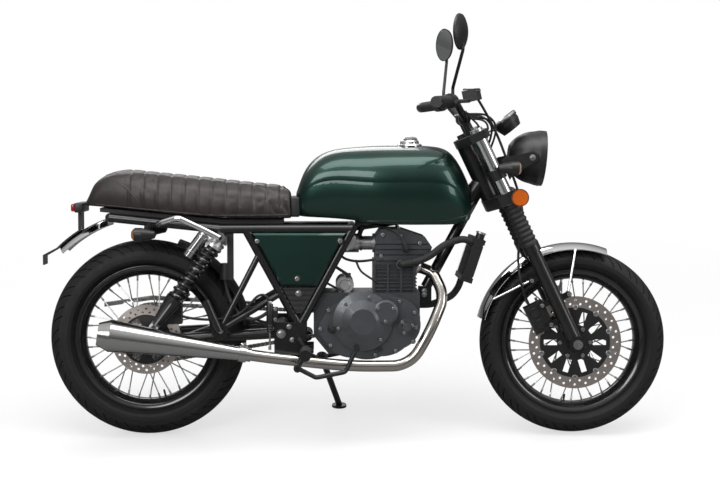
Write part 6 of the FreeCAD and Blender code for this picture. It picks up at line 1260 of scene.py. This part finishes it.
def shocks():
    """Black progressive springs with their cups, over two-tone dampers."""
    springs, brights = [], []
    way, across = SHOCK_WAY, SHOCK_ACROSS
    length = (SHOCK_FOOT - SHOCK_TOP).length
    guide = upright_copy("shock_springs", "SpringGuide")
    own = [point.co for point in guide.data.vertices if point.co.y < 0]
    reach = [(Vector((place.x, 0, place.z)) - SHOCK_TOP).dot(way) for place in own]
    first, last = min(reach), max(reach)
    bpy.data.objects.remove(guide)
    for side in (-1, 1):
        top = SHOCK_TOP + LEFT * side * SHOCK_SIDE
        turns, steps = 10.0, 140
        points = []
        for step in range(steps + 1):
            share = step / steps
            along = first + 0.0046 + (last - first - 0.0092) * (share ** 1.12)
            angle = 2 * math.pi * turns * share
            points.append(top + way * along + (across * math.cos(angle) + LEFT * math.sin(angle))
                          * 0.0205)
        springs.append(wire(points, 0.0055, smooth_steps=2, sides=3))
        for at, size, deep, ends in ((first - 0.006, 0.0268, 0.0062, brights),
                                     (last, 0.0268, 0.0075, springs)):
            ends.append(turned(top + way * at, way, [
                (0, size - 0.0016), (0.0010, size), (deep - 0.001, size), (deep, size - 0.0016)],
                               48))
    done(springs, "ShockSpringsBlack", "chassis", RIM_BLACK,
         "shock_springs", slot="leg_black")
    done(brights, "SpringCups", "chassis", ALLOY)
    dampers = dressed("shock_dampers", "chassis", ALLOY)
    dampers.data.materials.append(SATIN_BLACK)
    dampers.data.materials.append(STEEL)
    upright = PARKED.inverted()
    for face in dampers.data.polygons:
        offset = upright @ face.center - SHOCK_TOP
        along = offset.dot(way)
        if abs(offset.dot(across)) > 0.0285 and along < 0.200:
            face.material_index = 2
        elif 0.0375 < along < length - 0.052:
            face.material_index = 1


shocks()


def bottle_bands():
    """Bright rings on the dampers' reserve tanks."""
    guide = upright_copy("shock_dampers", "BottleGuide")
    across = -SHOCK_ACROSS if SHOCK_ACROSS.x > 0 else SHOCK_ACROSS
    pieces = []
    for side in (-1, 1):
        top = SHOCK_TOP + LEFT * side * SHOCK_SIDE
        own = [point.co for point in guide.data.vertices
               if point.co.y * side > 0 and (point.co - top).dot(across) > 0.040]
        reach = [(place - top).dot(SHOCK_WAY) for place in own]
        out = [(place - top).dot(across) for place in own]
        side_way = [place.y for place in own]
        middle = (max(out) + 0.029) / 2
        base_y = (max(side_way) + min(side_way)) / 2
        for at in (min(reach) + 0.010, min(reach) + 0.020, max(reach) - 0.022):
            spot = Vector((top.x, base_y, top.z)) + across * middle + SHOCK_WAY * at
            pieces.append(band(spot, SHOCK_WAY, 0.0170, 0.0177, 0.0050, 0.0008, 48))
    bpy.data.objects.remove(guide)
    done(pieces, "BottleBands", "chassis", ZINC)


bottle_bands()


def silencer_fittings():
    """The rear cone's seam, the clamp's ears and bolt, and the flange at the engine."""
    front = Vector((0.329, -0.176, 0.270))
    rear = Vector((-0.130, -0.224, 0.342))
    way = (rear - front).normalized()
    length = (rear - front).length
    seam = turned(front + way * (length - 0.0400), way, [
        (0, 0.0488), (0.0006, 0.0494), (0.0040, 0.0494), (0.0046, 0.0486)], 96)
    done(seam, "SilencerSeam", "chassis", STEEL)
    up = way.cross(LEFT).normalized()
    if up.z < 0:
        up = -up
    lug = front + way * 0.026 + up * 0.0275
    ears = [slab(lug + LEFT * shift, (0.016, 0.0028, 0.012), None, 0.0006)
            for shift in (-0.0045, 0.0045)]
    done(ears, "ClampEars", "chassis", STEEL)
    fastened("ClampBolt", "chassis", hex_bolt(0.0050, 0.0050), [(lug + RIGHT * 0.0060, RIGHT)])
    flange = turned((0.8485, -0.034, 0.5262), Vector((0.9, -0.12, -0.42)), [
        (-0.006, 0.0200), (-0.006, 0.0255), (0.0, 0.0262), (0.004, 0.0240), (0.005, 0.0195)], 48)
    done(flange, "ExhaustFlange", "chassis", ALLOY)


silencer_fittings()


def chain_pins():
    """Pin heads on both faces of the chain, along its runs and round the rear sprocket."""
    front = Vector((0.578, 0, 0.342))
    big, small, pitch = 0.094, 0.034, 0.0127
    span = front - REAR_AXLE
    tilt = math.atan2(span.z, span.x)
    wrap = math.acos((big - small) / span.length)
    spots = []
    for way in (1, -1):
        normal = tilt + wrap * way
        out = Vector((math.cos(normal), 0, math.sin(normal)))
        start, end = REAR_AXLE + out * big, front + out * small
        count = int((end - start).length / pitch)
        spots += [start + (end - start) * (step + 0.5) / count for step in range(count)]
    count = int(big * 2 * (math.pi - wrap) / pitch)
    for step in range(count):
        angle = tilt + wrap + (2 * math.pi - 2 * wrap) * (step + 0.5) / count
        spots.append(REAR_AXLE + Vector((math.cos(angle), 0, math.sin(angle))) * big)
    pin = turned((0, 0, 0), UP, [(0, 0.0023), (0.0010, 0.0023), (0.0014, 0.0016)], 10)
    fastened("ChainPins", "chassis", pin, [
        (Vector((spot.x, 0.079 + face * 0.0070, spot.z)), LEFT * face)
        for spot in spots for face in (-1, 1)])


chain_pins()


fastened("RearAxleNuts", "chassis", hex_bolt(0.0125, 0.0060),
         mirrored((0, 0.1222, REAR_RADIUS)))


def tail_pieces():
    """The tail lamp's dark body and its red lens."""
    guide = upright_copy("tail_lamp", "TailGuide")
    spans = [[point.co[axis] for point in guide.data.vertices] for axis in range(3)]
    bpy.data.objects.remove(guide)
    rear_x, front_x = min(spans[0]), max(spans[0])
    deep, wide, tall = [max(span) - min(span) for span in spans]
    middle_z = (min(spans[2]) + max(spans[2])) / 2
    done(slab((rear_x * 0.35 + front_x * 0.65, 0, middle_z), (deep * 0.68, wide, tall), None,
              0.004, 3), "TailLampBody", "chassis", SATIN_BLACK, "tail_lamp")
    done(slab((rear_x + deep * 0.19, 0, middle_z), (deep * 0.37, wide * 0.93, tall * 0.80), None,
              0.005, 3), "TailLampLens", "chassis", RED_LENS)


tail_pieces()


def peg_rubbers():
    """Ribbed rubber sleeves on the rider's pegs."""
    done([band((0.497, side * (0.206 + step * 0.0106), 0.284), LEFT * side, 0.0166, 0.0176,
               0.0068, 0.0010, 28) for side in (-1, 1) for step in range(9)],
         "PegRubbers", "chassis", RUBBER)


peg_rubbers()


def rear_plumbing():
    """The rear brake's hoses, cylinder and rod, the engine's loom and the pad before the seat."""
    hose = wire([(0.247, -0.092, 0.500), (0.249, -0.094, 0.470), (0.262, -0.104, 0.430),
                 (0.286, -0.122, 0.392), (0.326, -0.140, 0.372), (0.362, -0.148, 0.384),
                 (0.379, -0.149, 0.398)], 0.0058)
    line = wire([(0.386, -0.149, 0.428), (0.378, -0.150, 0.452), (0.350, -0.147, 0.452),
                 (0.322, -0.142, 0.418), (0.284, -0.136, 0.384), (0.214, -0.130, 0.372),
                 (0.130, -0.122, 0.378), (0.092, -0.104, 0.392), (0.080, -0.088, 0.396)], 0.0040)
    done([hose, line], "RearBrakeHoses", "chassis", RUBBER)
    cylinder = bar((0.386, -0.149, 0.360), (0.386, -0.149, 0.424), 0.0105, 28, 0.0012)
    ears = slab((0.394, -0.146, 0.392), (0.034, 0.007, 0.046), None, 0.002)
    boot = turned((0.386, -0.149, 0.361), -UP, [
        (0, 0.0100), (0.004, 0.0110), (0.008, 0.0085), (0.012, 0.0105), (0.016, 0.0075),
        (0.020, 0.0095), (0.024, 0.0055)], 28)
    done([cylinder, ears, boot], "RearMasterCylinder", "chassis", SATIN_BLACK)
    rod = bar((0.386, -0.149, 0.340), (0.386, -0.149, 0.292), 0.0032, 16)
    fork_end = slab((0.386, -0.149, 0.290), (0.009, 0.010, 0.016), None, 0.001)
    union = bar((0.386, -0.149, 0.423), (0.386, -0.149, 0.433), 0.0072, 6, 0.0006)
    done([rod, fork_end, union], "RearBrakeRod", "chassis", ZINC)
    fastened("MasterCylinderBolts", "chassis", cap_bolt(0.0056, 0.0050), [
        (Vector((0.4035, -0.1495, 0.408)), RIGHT), (Vector((0.4035, -0.1495, 0.376)), RIGHT)])
    loom = []
    for run, size in (
            ([(0.562, -0.050, 0.664), (0.580, -0.052, 0.640), (0.590, -0.052, 0.606),
              (0.584, -0.052, 0.566), (0.560, -0.050, 0.532), (0.548, -0.048, 0.500)], 0.0046),
            ([(0.600, -0.020, 0.664), (0.612, -0.036, 0.648), (0.606, -0.048, 0.624),
              (0.598, -0.050, 0.590), (0.606, -0.052, 0.560), (0.640, -0.054, 0.548),
              (0.680, -0.060, 0.548), (0.722, -0.066, 0.556)], 0.0040),
            ([(0.552, -0.046, 0.560), (0.580, -0.054, 0.536), (0.612, -0.062, 0.516),
              (0.628, -0.066, 0.506)], 0.0048),
            ([(0.652, -0.058, 0.552), (0.660, -0.066, 0.522), (0.690, -0.070, 0.500),
              (0.714, -0.070, 0.486)], 0.0034),
            ([(0.520, -0.048, 0.470), (0.550, -0.058, 0.486), (0.580, -0.064, 0.470),
              (0.612, -0.086, 0.456)], 0.0036)):
        loom.append(wire(run, size))
    boots = [bar((0.628, -0.066, 0.512), (0.628, -0.066, 0.498), 0.0080, 20, 0.001),
             bar((0.716, -0.064, 0.556), (0.734, -0.068, 0.556), 0.0068, 20, 0.001)]
    done(loom + boots, "EngineLoom", "chassis", RUBBER)
    gap = slab((0.4630, 0, 0.7180), (0.0300, 0.150, 0.062), None, 0.006, 3)
    done(gap, "SaddleFrontPad", "chassis", PLASTIC, slot="rubber")


rear_plumbing()


# The studio: a white floor and world, four large soft lamps and the photograph's view.
def mixed(tree, share, first, second):
    """One shader laid over another by a share."""
    return add_node(tree, "ShaderNodeMixShader", {0: share, 1: first, 2: second}).outputs["Shader"]


def studio_floor():
    """A white floor that fades into the white world, and looks darker in bright metal."""
    material = bpy.data.materials.new("StudioFloor")
    material.use_nodes = True
    tree = material.node_tree
    rays = add_node(tree, "ShaderNodeLightPath")
    tone = add_node(tree, "ShaderNodeMix", {
        "Factor": rays.outputs["Is Glossy Ray"], "A": (0.88, 0.88, 0.88, 1),
        "B": (0.22, 0.22, 0.22, 1)}, data_type="RGBA")
    shader = tree.nodes["Principled BSDF"]
    feed(tree, shader, {"Roughness": 0.9, "Base Color": tone.outputs["Result"]})
    place = add_node(tree, "ShaderNodeTexCoord").outputs["Object"]
    reach = add_node(tree, "ShaderNodeVectorMath", {0: place}, operation="LENGTH")
    fade = add_node(tree, "ShaderNodeMapRange", {
        "Value": reach.outputs["Value"], "From Min": 0.9, "From Max": 3.2, "To Min": 0.62,
        "To Max": 1.0})
    share = add_node(tree, "ShaderNodeMath", {
        0: rays.outputs["Is Camera Ray"], 1: fade.outputs["Result"]}, operation="MULTIPLY")
    glow = add_node(tree, "ShaderNodeEmission", {"Color": (1, 1, 1, 1)}).outputs["Emission"]
    feed(tree, tree.nodes["Material Output"], {
        "Surface": mixed(tree, share.outputs["Value"], shader.outputs["BSDF"], glow)})
    deselect()
    bpy.ops.mesh.primitive_plane_add(size=40, location=(0, 0, 0))
    floor = bpy.context.object
    floor.name = "StudioGround"
    painted(floor, material)


def studio_world():
    """White behind the machine, soft grey as light, and dark below to bright above in metal."""
    world = bpy.data.worlds.new("Studio")
    bpy.context.scene.world = world
    world.use_nodes = True
    tree = world.node_tree
    soft = tree.nodes["Background"]
    feed(tree, soft, {"Color": (1, 1, 1, 1), "Strength": 0.42})
    white = add_node(tree, "ShaderNodeBackground", {"Color": (1, 1, 1, 1), "Strength": 1.0})
    way = add_node(tree, "ShaderNodeTexCoord").outputs["Generated"]
    split = add_node(tree, "ShaderNodeSeparateXYZ", {"Vector": way})
    sky = colour_ramp(tree, split.outputs["Z"], (
        (0.0, (0.10, 0.10, 0.10)), (0.22, (0.22, 0.22, 0.22)), (0.75, (0.75, 0.75, 0.75))))
    in_metal = add_node(tree, "ShaderNodeBackground", {"Color": sky})
    rays = add_node(tree, "ShaderNodeLightPath")
    first = mixed(tree, rays.outputs["Is Glossy Ray"], soft.outputs["Background"],
                  in_metal.outputs["Background"])
    seen = add_node(tree, "ShaderNodeMath", {
        0: rays.outputs["Is Camera Ray"], 1: rays.outputs["Is Transmission Ray"]},
                    operation="MAXIMUM")
    feed(tree, tree.nodes["World Output"], {
        "Surface": mixed(tree, seen.outputs["Value"], first, white.outputs["Background"])})


def soft_box(name, place, aim, size, power):
    """A large rectangular lamp aimed at a point."""
    light = bpy.data.lights.new(name, "AREA")
    light.shape = "RECTANGLE"
    light.size, light.size_y = size
    light.energy = power
    holder = bpy.data.objects.new(name, light)
    bpy.context.scene.collection.objects.link(holder)
    holder.location = place
    holder.rotation_euler = (Vector(aim) - Vector(place)).to_track_quat("-Z", "Y").to_euler()


def photo_view():
    """The photograph's own view, from the machine's right side."""
    view = bpy.data.cameras.new("PhotoView")
    view.lens = 77.8
    view.sensor_width = 36
    holder = bpy.data.objects.new("PhotoView", view)
    bpy.context.scene.collection.objects.link(holder)
    ahead_turn, down_turn = math.radians(1.25), math.radians(3.42)
    look = Vector((math.sin(ahead_turn) * math.cos(down_turn),
                   math.cos(ahead_turn) * math.cos(down_turn), -math.sin(down_turn)))
    turn = look.to_track_quat("-Z", "Y").to_matrix().to_4x4()
    holder.matrix_world = PARKED @ Matrix.Translation((0.559, -4.900, 0.907)) @ turn
    bpy.context.scene.camera = holder


studio_floor()
studio_world()
soft_box("OverheadLamp", (0.2, -0.6, 3.4), (0, 0, 0.4), (4.2, 1.6), 95)
soft_box("CameraSideLamp", (-2.2, -3.6, 2.6), (0, 0, 0.5), (2.2, 1.8), 80)
soft_box("FrontLamp", (3.4, -1.8, 1.9), (0.2, 0, 0.5), (1.2, 2.2), 38)
soft_box("BackLamp", (-1.0, 3.6, 2.4), (0, 0, 0.6), (3.0, 1.4), 45)
photo_view()
bpy.context.scene.view_settings.view_transform = "Standard"
